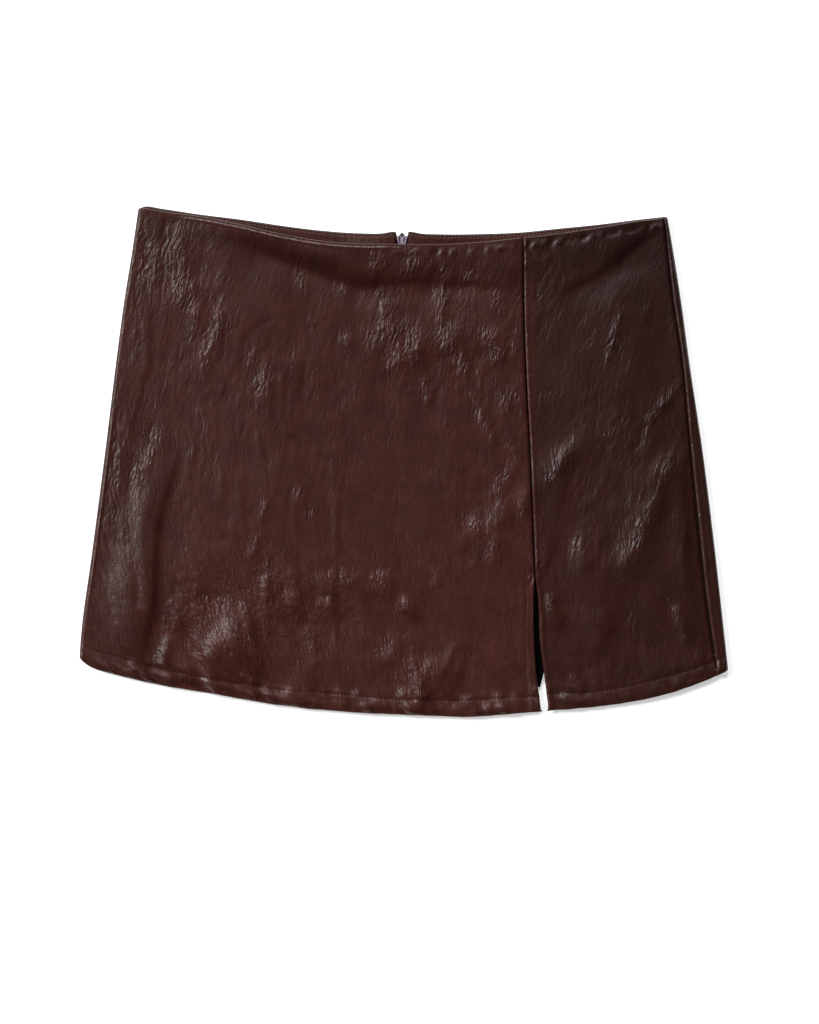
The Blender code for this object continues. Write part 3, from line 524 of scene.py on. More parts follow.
def frontTop(x, y):
    # the front's upper face with all that shows on it
    fromHem = y - read(hem, "front", x)
    fromWaist = read(waist, "front", x) - y
    wideEdge, narrowEdge = read(frontSeam, "wide", y), read(frontSeam, "narrow", y)
    fromSeam = np.where(x < (wideEdge + narrowEdge) / 2, wideEdge - x, x - narrowEdge)
    narrow = x > (wideEdge + narrowEdge) / 2
    fromSide = read(sides, "right", y) - read(sideSeam, "inset", y) - x
    inFromSide = np.minimum(x - read(sides, "left", y), read(sides, "right", y) - x)
    calm = ramp(np.minimum(fromWaist, 60), 1.5, 9) * ramp(np.abs(fromSeam), 1.5, 8)
    calm = calm * ramp(np.abs(fromSide), 1.5, 8) * ramp(inFromSide, 1, 9)
    calm = mix(crumple["nearSeams"], 1, calm)
    share = mix(crumple["folds"], crumple["lowFolds"], ramp(y, -60, -95))
    share = mix(share, crumple["hemFolds"], ramp(fromHem, 18, 11))
    height = frontBase(x, y) + calm * (crumpled(x, y) + share * foldsOf(smallFolds, x, y))

    # hem: doubled allowance, sunk stitch row, puckers between row and edge
    depth = read(hemStitch, "depth", x)
    height += frontEdge["allowance"] * ramp(fromHem, depth + 0.2, depth - 2.4)
    height -= frontEdge["groove"] * bell(fromHem - depth, 0.9)
    band = ramp(fromHem, 0.3, 3.2) * ramp(fromHem, depth - 0.6, 4.5)
    shear = mix(1.3, 0.5, ramp(x, -110, -40))
    sideways = (x + shear * fromHem) / np.hypot(1, shear)
    pull = 1.7 * np.abs(noise(sideways / frontEdge["puckerPitch"], fromHem / 40, seeds["pucker"])) - 0.4
    pull += 0.35 * noise(sideways / 4.2, fromHem / 9, seeds["pucker"] + 1)
    pulled = 0.55 + 0.75 * ramp(x, -60, -120) + 0.4 * ramp(x, -60, -20) * ramp(x, 100, 70) + 0.3 * bell(x - 130, 25)
    height += frontEdge["pucker"] * band * pulled * (0.4 + pull)
    height += 0.8 * pulled * pull * bell(fromHem - depth - 4, 3)

    # slit: the same along its edges, and puckers that fan out from its top
    inSlit = ramp(y, frontEdge["slitTop"] + 3, frontEdge["slitTop"] - 6)
    row = np.where(narrow, slitStitchAt("narrow", y), slitStitchAt("wide", y))
    height += inSlit * frontEdge["slitAllowance"] * ramp(fromSeam, row, row - 1.4)
    height -= inSlit * frontEdge["slitGroove"] * bell(fromSeam - row, 0.8)
    px, py = x - frontEdge["slitX"], y - frontEdge["slitTop"]
    away = np.hypot(px, py)
    height += frontEdge["fan"] * np.cos(9 * np.arctan2(py, np.abs(px))) * bell(away - 4.5, 4)

    # seams: a ridge beside each groove
    above = 1 - inSlit
    height += above * frontEdge["seamRidge"] * narrow * bell(fromSeam - 1.7, 1.0)
    shade = ramp(y, 40, -50)
    height -= frontEdge["sideSink"] * shade * ramp(fromSide, 11, 0.5) * (fromSide > 0) * narrow
    height += frontEdge["sideRidge"] * bell(fromSide + 2.3, 1.2) * (fromSide < 0)

    # left side: a fine pressed line beside the fold
    pressed = bell(inFromSide - 2.9, 0.8) * (x < 0)
    height += frontEdge["pressedLine"] * pressed * ramp(y, -110, -80) * ramp(y, 40, 15)

    # waist: a rolled ridge below the edge at the left, dimples where the facing is caught inside
    ridge = ramp(x, -165, -140) * ramp(x, 5, -25) * (0.8 + 0.4 * noise(x / 3.4, 0.6, seeds["ridge"]))
    height += frontEdge["waistRidge"] * ridge * (bell(fromWaist - 2.9, 0.85) - 0.5 * bell(fromWaist - 1.5, 0.5))
    dimples = noise(x / frontEdge["dimplePitch"], 0.37 + fromWaist / 25, seeds["dimple"])
    height += frontEdge["dimple"] * dimples * bell(fromWaist - 6.0, 2.6) * ramp(x, -30, 10)
    return np.maximum(height, 2 * frontEdge["hemTurn"] + 0.05)


# Places on the flattened tube of the skirt, as distances along the cloth from the middle of a side's fold,
# above zero on the upper face and below zero on the underside.
quarter = radius * math.pi / 2


def alongCloth(inset):
    turned = radius * np.arccos(1 - np.minimum(inset, radius) / radius)
    return turned + np.maximum(inset - radius, 0)


def plan(first, last, count):
    # grid lines: some at set distances from the start, some spread between, and some at set distances from the end
    rows = [(0.0, a, 0.0) for a in first]
    rows += [(share, first[-1], last[0]) for share in np.linspace(0, 1, count + 2)[1:-1]]
    return np.array(rows + [(1.0, 0.0, b) for b in last]).T


def edgeSteps(reach, more):
    # close together where the edge turns down
    turned = [reach * (1 - math.sin(angle)) for angle in np.linspace(math.pi / 2, 0, 7)]
    return turned + [reach + extra for extra in more]


def hemRows(turn, flap, dense, top, count):
    # rows from the end of the turned-in hem, round its edge and up the outer face
    inside = [(offset, 2 * turn, turn * math.pi + offset - 2 * turn) for offset in np.linspace(flap, turn, 6)[:-1]]
    bend = [(turn * (1 - math.sin(a)), turn * (1 - math.cos(a)), turn * (a - 1)) for a in np.linspace(math.pi, 0, 9)]
    outside = [(offset, 0.0, turn - offset) for offset in dense]
    near = np.array(inside + bend + outside).T
    share, a, b = plan(list(near[0]), top, count)
    drop, past = np.zeros(len(share)), -a
    drop[:len(near[0])] = near[1]
    past[:len(near[0])] = near[2]
    columns = {"share": share, "a": a, "b": b, "drop": drop, "past": past}
    return {name: column[:, None] for name, column in columns.items()}


def backHemWander(x):
    # the back hem's edge isn't quite straight
    return frontEdge["backWander"] * noise(x / 8, 0.5, seeds["backHem"])


def shellPoints(side, start, end, columns, rows, startRoll, endRoll, waistRoll):
    # one panel's points, pattern places, edge wear with painted highlight, outward directions, and where its streaks
    # are read;
    # start and end give the places of its two edges at any height
    way = 1 if side == "left" else -1
    share, a, b = columns
    y = mix(-150.0, 165.0, rows["share"]) + 0 * share
    for _ in range(14):
        first, last = start(y), end(y)
        sign = np.sign(last - first)
        s = mix(first + sign * a, last - sign * b, share)
        turn = np.clip(s, -quarter, quarter) / radius
        x = read(sides, side, y) + way * (radius * (1 - np.cos(turn)) + np.maximum(np.abs(s) - quarter, 0))
        upper = ramp(s, -quarter, quarter)
        top = mix(read(waist, "back", x), read(waist, "front", x), upper)
        bottom = mix(read(hem, "back", x), read(hem, "front", x), upper) + backHemWander(x)
        y = mix(bottom + rows["a"], top - rows["b"], rows["share"])
    onTop = s > 0
    z = np.where(onTop, mix(radius, frontTop(x, y), np.sin(np.maximum(turn, 0))), radius * (1 + np.sin(turn)))
    underneath = s < -quarter
    sunk = frontEdge["groove"] * bell(y - bottom - frontEdge["backRow"], 0.9)
    z = np.where(underneath, zipLift(x, y) + sunk, z)
    drop = np.maximum(rows["drop"], roll(np.abs(s - first), *startRoll(y)))
    drop = np.maximum(drop, roll(np.abs(last - s), *endRoll(y)))
    drop = np.maximum(drop, roll(top - y, *waistRoll) * (0.3 + 0.7 * upper))
    outward = np.stack([-way * np.cos(turn), 0 * turn, np.sin(turn)], -1)
    points = np.stack([x, y, z], -1) - outward * drop[..., None]
    edge = np.minimum(np.minimum(np.abs(s - first), np.abs(last - s)), np.minimum(top - y, y - bottom))
    wear = frontEdge["wear"] * np.exp(-np.maximum(edge, 0) / frontEdge["wearReach"])
    v = np.where(rows["drop"] + 0 * s > 0, bottom - rows["past"], y)
    across = read(sides, side, y) + way * (s - quarter + radius)
    streaks = np.stack([leaned(across, y, ramp(across, 86, 94)), v], -1)
    return points, np.stack([s, v], -1), wear, outward, streaks


def placed(name, data):
    obj = bpy.data.objects.new(name, data)
    bpy.context.scene.collection.objects.link(obj)
    return obj


def gridMesh(name, points, places, material, thickness, wear=None, facing=None, lining=None, tone=None, streaks=None,
             crinkle=None):
    # a cloth piece from a grid of points; its wall grows under the face that points to facing
    rows, columns = points.shape[:2]
    i, j = rows // 2, columns // 2
    normal = np.cross(points[i, j + 1] - points[i, j], points[i + 1, j] - points[i, j])
    flipped = float(normal @ (np.array([0, 0, 1.0]) if facing is None else facing[i, j])) < 0
    index = np.arange(rows * columns).reshape(rows, columns)
    corners = np.stack([index[:-1, :-1], index[:-1, 1:], index[1:, 1:], index[1:, :-1]], -1).reshape(-1, 4)
    corners = corners[:, ::-1] if flipped else corners
    mesh = bpy.data.meshes.new(name)
    mesh.from_pydata((points.reshape(-1, 3) * mm).tolist(), [], corners.tolist())
    for layerName, spots in (("cloth", places), ("streaks", places if streaks is None else streaks)):
        layer = mesh.uv_layers.new(name=layerName)
        layer.data.foreach_set("uv", (spots.reshape(-1, 2)[corners.ravel()] * mm).ravel())
    for layerName, values, plain in (("wear", wear, 0.0), ("tone", tone, 1.0), ("crinkle", crinkle, 0.0)):
        layer = mesh.attributes.new(layerName, "FLOAT", "POINT")
        layer.data.foreach_set("value", np.full(rows * columns, plain) if values is None else values.ravel())
    mesh.shade_smooth()
    obj = placed(name, mesh)
    mesh.materials.append(material)
    mesh.materials.append(lining or material)
    solid = obj.modifiers.new("Wall", "SOLIDIFY")
    solid.thickness = thickness * mm
    solid.offset = -1
    solid.material_offset = 1
    solid.material_offset_rim = 1
    return obj


# Outer shell
shell = {
    "step": 1.95,  # between grid lines of the front
    "backStep": 4.0,
    "backRowStep": 2.6,
    "frontLength": 312.0,  # lengths and widths that the even part of each grid covers
    "backLength": 290.0,
    "wideWidth": 288.0,
    "narrowWidth": 105.0,
    "backRightWidth": 200.0,
    "backLeftWidth": 208.0,
    "rightPaintedShade": 0.67,  # painted shade: the right side of the front is darker
    # painted light: lighter towards the hem
    "lowPaintedLight": 1.3,
    "leftPaintedShade": 0.8,  # painted shade on the strip along the left side
    # painted shade: darker towards the waist
    "topPaintedShade": 0.8,
    "middlePaintedShade": 0.86,  # painted shade on the upper right of the wide panel
    # painted shade: darker towards the right side
    "sidePaintedShade": 0.86,
    "cutPaintedShade": 0.45,  # painted shade on the back's cut edge at the waist
    # painted highlight along the rolled ridge below the front's waist
    "ridgeHighlight": 0.95,
}
hemOutside = list(np.arange(frontEdge["hemTurn"] + 0.5, 17, 0.8))
waistEdge = [10, 9, 8, 7.1, 6.3, 5.6, 4.9, 4.3, 3.8, 3.4, 3.05, 2.75, 2.45, 2.15, 1.85, 1.55, 1.25]
waistEdge += edgeSteps(frontEdge["waistRoll"], [])[::-1]
backWaistEdge = [4.0, 2.6] + edgeSteps(frontEdge["backWaistRoll"][0], [])[::-1]
frontRows = hemRows(frontEdge["hemTurn"], frontEdge["hemFlap"], hemOutside, waistEdge,
                    int(shell["frontLength"] / shell["step"]))
backRows = hemRows(frontEdge["hemTurn"], frontEdge["backHemFlap"], hemOutside, backWaistEdge,
                   int(shell["backLength"] / shell["backRowStep"]))
nearEdge = [0.6, 1.3, 2.1, 3.0, 4.1, 5.5, 7.0]
slitRoll = (frontEdge["hemTurn"], 2 * frontEdge["hemTurn"])


def rollAt(edge, opened=None):
    # a rounded edge's reach and depth at any height; the front seam's becomes the doubled edge of the slit
    shut = frontEdge[edge + "Roll"]
    return lambda y: tuple(mix(a, b, ramp(y, *frontEdge["opens"])) for a, b in zip(shut, opened or shut))


def wideStart(y):
    return 0 * y - quarter - layers["sideFlap"]


def wideEnd(y):
    return alongCloth(read(frontSeam, "wide", y) - read(sides, "left", y)) - 0.35 * ramp(y, *frontEdge["opens"][::-1])


def narrowStart(y):
    return alongCloth(read(sides, "right", y) - read(frontSeam, "narrow", y))


def narrowEnd(y):
    return alongCloth(read(sideSeam, "inset", y)) + (0.25 + 0.5 * ramp(y, 30, -50)) * ramp(y, -146, -132)


def zipEdge(side, y):
    # a back panel's edge along the zip opens into a notch at the waist
    half = gap / 2 + zipPart["notchHalf"] * np.clip(1 - (waistAtZip - y) / zipPart["notchDepth"], 0, 1)
    edge = zipX - half if side == "left" else zipX + half
    return -quarter - np.abs(edge - read(sides, side, y)) + radius


def backRightStart(y):
    return alongCloth(read(sideSeam, "inset", y)) - gap


wideFirst = edgeSteps(frontEdge["underRoll"][0], [0.7, 1.7, 3.2, 5.0])
wideFirst += [layers["sideFlap"] + quarter + arc for arc in np.linspace(-quarter, quarter + 5, 21)]
wideColumns = plan(wideFirst, edgeSteps(frontEdge["wideRoll"][0], nearEdge)[::-1],
                   int(shell["wideWidth"] / shell["step"]))
narrowColumns = plan(edgeSteps(frontEdge["narrowRoll"][0], nearEdge),
                     edgeSteps(frontEdge["sideRoll"][0], nearEdge)[::-1], int(shell["narrowWidth"] / shell["step"]))
backRightFirst = edgeSteps(frontEdge["backRoll"][0], [0.6, 1.3, 2.1]) + list(np.arange(4.1, 21, 0.8))
zipSteps = edgeSteps(frontEdge["zipRoll"][0], [1.2])
backRightColumns = plan(backRightFirst, zipSteps[::-1], int(shell["backRightWidth"] / shell["backStep"]))
backLeftColumns = plan(zipSteps, zipSteps[::-1], int(shell["backLeftWidth"] / shell["backStep"]))


def leatherPanel(name, side, start, end, columns, rows, startRoll, endRoll, waistRoll):
    grid = shellPoints(side, start, end, columns, rows, startRoll, endRoll, waistRoll)
    points, places, wear, outward, streaks = grid
    print(f"{name}: {points.shape[0]} x {points.shape[1]} points")
    x, y = points[..., 0], points[..., 1]
    above = places[..., 0]  # distance along the cloth from the side's fold, below zero underneath
    # painted light and shade: the colour is darkened or lightened by place across the panels
    tone = mix(1, shell["rightPaintedShade"], ramp(x, 88, 93) * ramp(above, -12, 0))
    tone *= mix(1, shell["lowPaintedLight"], ramp(y, 60, -150))
    tone *= mix(1, shell["leftPaintedShade"], ramp(x, -150, -175) * ramp(y, 70, -40))
    tone *= mix(1, shell["topPaintedShade"], ramp(y, 105, 165))
    tone *= mix(1, shell["middlePaintedShade"], ramp(y, 60, 130) * ramp(x, 40, 110))
    tone *= mix(1, shell["sidePaintedShade"], ramp(x, 120, 165))
    if name.startswith("back"):
        fromTop = read(waist, "back", x) - y
        tone = np.where(above < 0, tone * mix(shell["cutPaintedShade"], 1, ramp(fromTop, 0.4, 2)), tone)
    # painted highlight: the rolled ridge below the front's waist is lightened through the wear colour
    ridge = ramp(x, -165, -140) * ramp(x, 5, -25) * bell(read(waist, "front", x) - y - 3.1, 0.9)
    wear = np.maximum(wear, np.where(above > 0, shell["ridgeHighlight"] * ridge, 0))
    crinkle = 0.35 * (restlessAt(x, y) - 0.6) + leansOf(tiltedSpots, x, y)[1]
    crinkle = np.clip(crinkle, 0, 1) * ramp(above, -4, 2)
    return gridMesh(name, points, places, fauxLeather, wall, wear, outward, backing, tone, streaks, crinkle)


# Inner shorts
shorts = {
    "topBelowWaist": 44.0,
    "sideInset": 13.0,
    "crotchY": -70.0,
    "legGapHalf": 6.0,
    "backHem": -126.0,
    "stepX": 96.5,  # past here the right front leg ends higher, which shows in the slit
    "stepY": -142.2,
    "uneven": 0.12,
    "groove": 0.25,
}
shortsHem = table("x y", [
    (-220, -128), (-190, -134), (-8, -150), (8, -154), (96, -158), (150, -148), (220, -128),
])


def shortsPoints(side, top, front):
    way = -1 if side == "left" else 1
    across = np.array([0, 0.01, 0.03] + list(np.linspace(0.05, 1, 46)))[None, :]
    down = np.array([0, 0.006, 0.015, 0.03, 0.045] + list(np.linspace(0.06, 1, 62)))[:, None]
    y = mix(-140.0, 110.0, down) + 0 * across
    for _ in range(8):
        inseam = gap / 2 + shorts["legGapHalf"] * np.clip((shorts["crotchY"] - y) / 80, 0, 1)
        x = way * mix(inseam, np.abs(read(sides, side, y)) - shorts["sideInset"], across)
        high = read(waist, "back", x) - shorts["topBelowWaist"]
        low = shorts["backHem"] + 0 * y
        if front:
            low = np.interp(x, *shortsHem.values())
            low = mix(low, np.maximum(low, shorts["stepY"]), ramp(x, shorts["stepX"] - 0.4, shorts["stepX"] + 0.4))
        y = mix(low, high, down)
    pastBack = ramp(read(hem, "back", x) - y, 0, 20)
    z = mix(top + overZip(x, y), layers["jersey"] + 2 * gap, pastBack)
    z += shorts["uneven"] * noise(x / 14, y / 30, seeds["shorts"] + front) * (1 - pastBack)
    z = z - shorts["groove"] * bell(y - low - 7, 0.9)  # stitched hem
    return np.stack([x, y, z], -1), np.stack([x, y], -1)


# Waist facings inside the back
facing = {
    "depth": 42.0,
    "end": 5.0,
    "slant": 2.0,
    "edgeRoll": 1.2,
    "edgeDepth": 1.1,
    "stitch": 1.9,  # stitch row below the edge
    "groove": 0.25,
    "uneven": 0.16,
    "fineUneven": 0.06,
}


def facingPoints(side):
    way = -1 if side == "left" else 1
    across = np.array([0, 0.002, 0.006, 0.012] + list(np.linspace(0.02, 1, 104)))[None, :]
    downFrom = edgeSteps(facing["edgeRoll"], [0.4, 0.8, 1.2, 1.7, 2.4, 3.2, 4.2, 5.4, 6.8, 8.5])
    down = np.array(downFrom + list(np.linspace(10.5, facing["depth"], 12)))[::-1][:, None]
    y = 150.0 + 0 * down + 0 * across
    for _ in range(8):
        end = facing["end"] + facing["slant"] * down / facing["depth"]
        outer = np.abs(read(sides, side, y) - zipX) - radius - 3
        x = zipX + way * mix(end, outer, across)
        y = read(waist, "back", x) - gap - down
    z = facingTop + overZip(x, y) - roll(down, facing["edgeRoll"], facing["edgeDepth"])
    z -= facing["groove"] * bell(down - facing["stitch"], 0.6)
    z += facing["uneven"] * noise(x / 9, y / 12, seeds["facing"]) * ramp(down, 2, 7)
    z += facing["fineUneven"] * noise(x / 3.6, y / 5, seeds["facing"] + 1)
    tone = mix(0.5, 1, ramp(down, 0.2, 1.5)) + 0 * x  # painted shade darkens the sewn edge
    return np.stack([x, y, z], -1), np.stack([x, y], -1), tone


def tapePoints(side):
    way = -1 if side == "left" else 1
    sliderEnd = zipPart["sliderY"] - zipPart["sliderLength"] / 2
    low = waistAtZip - zipPart["length"]
    beside = np.linspace(sliderEnd - gap, waistAtZip - 3.5, 7)
    y = np.concatenate([np.linspace(low, sliderEnd - 1.5, 110), beside])[:, None]
    inner = np.where(y > sliderEnd - 1, zipPart["sliderWidth"] / 2 + gap, zipPart["coilHalf"])
    x = zipX + way * mix(inner, zipPart["tapeReach"], np.linspace(0, 1, 9)[None, :])
    y = y + 0 * x
    z = wall + gap + layers["tape"] + zipLift(x, y)
    return np.stack([x, y, z], -1), np.stack([x, y], -1)


# Slider and pull tab, in millimetres from the slider's middle
slider = {
    "plateLow": 3.5,
    "plateHigh": 4.7,
    "ribHigh": 5.4,
    "right": [(0.55, 4.5), (1.5, 3.5), (1.9, 2.6), (3.2, 2.35), (3.5, 1.2), (3.1, -1), (2.45, -3), (2.15, -4.5)],
    "holeY": 1.75,
    "holeRadius": 0.75,
    "rail": [(3.3, 1.9), (3.35, 1), (2.95, -1), (2.3, -3), (2, -4.4), (1.35, -4.4), (1.65, -3), (2.2, -1), (2.5, 1.9)],
    "groove": [(1.3, 1.6), (2.3, 1.8), (2.1, -1), (1.55, -3), (1.3, -4.4), (1.1, -4.4), (1.1, -1)],
    "nose": [(1.9, 2.62), (1.5, 3.5), (0.55, 4.5), (-0.55, 4.5), (-1.5, 3.5), (-1.9, 2.62)],
    "ribHalf": 0.95,
    "archHalf": 0.5,
    "archHalfLength": 2.0,
    "archLow": 0.1,
    "archBar": 0.5,
    "windowHalf": 1.1,
    "edge": 0.2,
    "dark": 0.06,  # painted shade: darker plates in the recesses stand over the plate by this
}
pullTab = {
    "pinZ": 1.35,
    "thick": 0.8,
    "length": 17.0,
    "eyeHalf": 2.2,
    "half": 3.0,
    "holeHalf": 0.9,
    "holeEnd": 2.9,
    "tilt": 3.0,  # degrees
    "edge": 0.22,
}


def plateOf(bm, outlines, low, high, turned=None):
    # adds a plate made from flat outlines, the later ones being holes
    curve = bpy.data.curves.new("Outline", "CURVE")
    curve.dimensions = "2D"
    curve.fill_mode = "BOTH"
    curve.extrude = (high - low) / 2 * mm
    for outline in outlines:
        spline = curve.splines.new("POLY")
        spline.points.add(len(outline) - 1)
        for point, (x, y) in zip(spline.points, outline):
            point.co = (x * mm, y * mm, 0, 1)
        spline.use_cyclic_u = True
    guide = placed("Outline", curve)
    mesh = bpy.data.meshes.new_from_object(guide.evaluated_get(bpy.context.evaluated_depsgraph_get()))
    bpy.data.objects.remove(guide)
    mesh.transform(Matrix.Translation((0, 0, (low + high) / 2 * mm)))
    if turned:
        mesh.transform(turned)
    bm.from_mesh(mesh)
    bpy.data.meshes.remove(mesh)


def hardPiece(name, bm, place, edge, material):
    # a closed metal piece with rounded edges, placed in millimetres
    bmesh.ops.remove_doubles(bm, verts=bm.verts, dist=1e-6)
    bmesh.ops.dissolve_limit(bm, angle_limit=math.radians(1), verts=bm.verts, edges=bm.edges)
    bmesh.ops.recalc_face_normals(bm, faces=bm.faces)
    bmesh.ops.translate(bm, vec=[value * mm for value in place], verts=bm.verts)
    mesh = bpy.data.meshes.new(name)
    bm.to_mesh(mesh)
    bm.free()
    mesh.shade_smooth()
    mesh.materials.append(material)
    obj = placed(name, mesh)
    rounded = obj.modifiers.new("Rounded", "BEVEL")
    rounded.width = edge * mm
    rounded.segments = 3
    rounded.limit_method = "ANGLE"
    rounded.angle_limit = math.radians(40)
    rounded.harden_normals = True
    return obj


def sliderPiece():
    bm = bmesh.new()
    low, high, ribHigh = slider["plateLow"], slider["plateHigh"], slider["ribHigh"]
    dark = high + slider["dark"]
    outline = slider["right"] + [(-x, y) for x, y in slider["right"][::-1]]
    ring = np.linspace(0, 2 * math.pi, 15)[:-1]
    hole = [(slider["holeRadius"] * math.cos(a), slider["holeY"] + slider["holeRadius"] * math.sin(a)) for a in ring]
    plateOf(bm, [outline, hole], low, high)
    for way in (-1, 1):
        plateOf(bm, [[(way * x, y) for x, y in slider["rail"]]], high - 0.3, ribHigh)
    half = slider["ribHalf"]
    plateOf(bm, [[(half, 0.2), (half, -4.4), (-half, -4.4), (-half, 0.2)]], high - 0.3, ribHigh)
    for way in (-1, 1):
        plateOf(bm, [[(way * x, y) for x, y in slider["groove"]]], high - 0.2, dark)
    plateOf(bm, [slider["nose"]], high - 0.2, dark)
    plug = [(1.1 * x, slider["holeY"] + 1.1 * (y - slider["holeY"])) for x, y in hole]
    plateOf(bm, [plug], low - 0.4, low + 0.3)
    reach, half, foot = slider["archHalfLength"], slider["windowHalf"], slider["archLow"]
    arch = [(-reach, foot), (reach, foot), (reach, low + 0.5), (-reach, low + 0.5)]
    foot = foot + slider["archBar"]
    window = [(-half, foot), (half, foot), (half, zipPart["lift"]), (-half, zipPart["lift"])]
    upright = Matrix(((0, 0, 1, 0), (1, 0, 0, 0), (0, 1, 0, 0), (0, 0, 0, 1)))
    plateOf(bm, [arch, window], -slider["archHalf"], slider["archHalf"], upright)
    piece = hardPiece("zipSlider", bm, (zipX, zipPart["sliderY"], 0), slider["edge"], zinc)
    piece.data.materials.append(recessShadeZinc)
    # painted shade: the dark plates in the recesses and the plug in the hole take the darker copy of the paint
    for face in piece.data.polygons:
        z = face.center.z / mm
        face.material_index = int(abs(z - dark) < 0.02 or abs(z - low - 0.3) < 0.02)
    return piece


def pullTabPiece():
    bm = bmesh.new()
    bar, ringY = pullTab["thick"] / 2, pullTab["half"] - pullTab["length"]
    eye, wide, end = pullTab["eyeHalf"], pullTab["half"], pullTab["holeEnd"]
    right = [(eye - 0.4, bar), (eye, bar - 0.4), (eye, -end - 0.6), (eye * 0.75, -end - 2.2)]
    right += [(wide * math.cos(a), ringY - wide * math.sin(a)) for a in np.linspace(-0.3, math.pi / 2, 13)]
    outline = right + [(-x, y) for x, y in right[-2::-1]]
    half = pullTab["holeHalf"]
    hole = [(-half, -bar), (half, -bar), (half, -end), (-half, -end)]
    tilt = Matrix.Rotation(math.radians(pullTab["tilt"]), 4, "X")
    plateOf(bm, [outline, hole], -bar, bar, tilt)
    return hardPiece("zipPullTab", bm, (zipX, zipPart["sliderY"], pullTab["pinZ"]), pullTab["edge"], zinc)


# Two helpers for shader and geometry nodes alike
def setInputs(tree, node, inputs):
    # links a socket or a node's first output, and sets a plain value on the socket itself
    for key, value in inputs.items():
        value = value.outputs[0] if isinstance(value, bpy.types.Node) else value
        if isinstance(value, bpy.types.NodeSocket):
            tree.links.new(value, node.inputs[key])
        else:
            node.inputs[key].default_value = value


def addNode(tree, kind, inputs=None, **settings):
    node = tree.nodes.new(kind)
    for key, value in settings.items():
        setattr(node, key, value)
    setInputs(tree, node, inputs or {})
    return node


def linear(hexColor):
    parts = [int(hexColor[i:i + 2], 16) / 255 for i in (1, 3, 5)]
    return (*[p / 12.92 if p <= 0.04045 else ((p + 0.055) / 1.055) ** 2.4 for p in parts], 1)


def newMaterial(name, roughness, specular=0.5, ior=1.5, metallic=0.0):
    material = bpy.data.materials.new(name)
    material.use_nodes = True
    tree = material.node_tree
    shader = tree.nodes["Principled BSDF"]
    setInputs(tree, shader, {"Roughness": roughness, "Specular IOR Level": specular, "IOR": ior,
                             "Metallic": metallic})
    return material, tree, shader


def inMillimetres(tree, layer=None):
    # a place on the flattened cloth, or in the object where no layer is named
    place = addNode(tree, "ShaderNodeUVMap", uv_map=layer) if layer else addNode(tree, "ShaderNodeTexCoord")
    place = place.outputs["UV" if layer else "Object"]
    return addNode(tree, "ShaderNodeVectorMath", {0: place, "Scale": 1 / mm}, operation="SCALE")


def patterned(tree, shader, share, shades, height=None, strength=0.5, depth=0.0):
    # the surface goes from the first shade to the second, and its pattern stands up by millimetres
    color = addNode(tree, "ShaderNodeMix", {0: share, 6: linear(shades[0]), 7: linear(shades[1])}, data_type="RGBA")
    setInputs(tree, shader, {"Base Color": color.outputs[2]})
    if height:
        bump = addNode(tree, "ShaderNodeBump", {"Height": height, "Strength": strength, "Distance": depth * mm})
        setInputs(tree, shader, {"Normal": bump})


waveScale = 0.314  # at this scale a wave comes once a millimetre


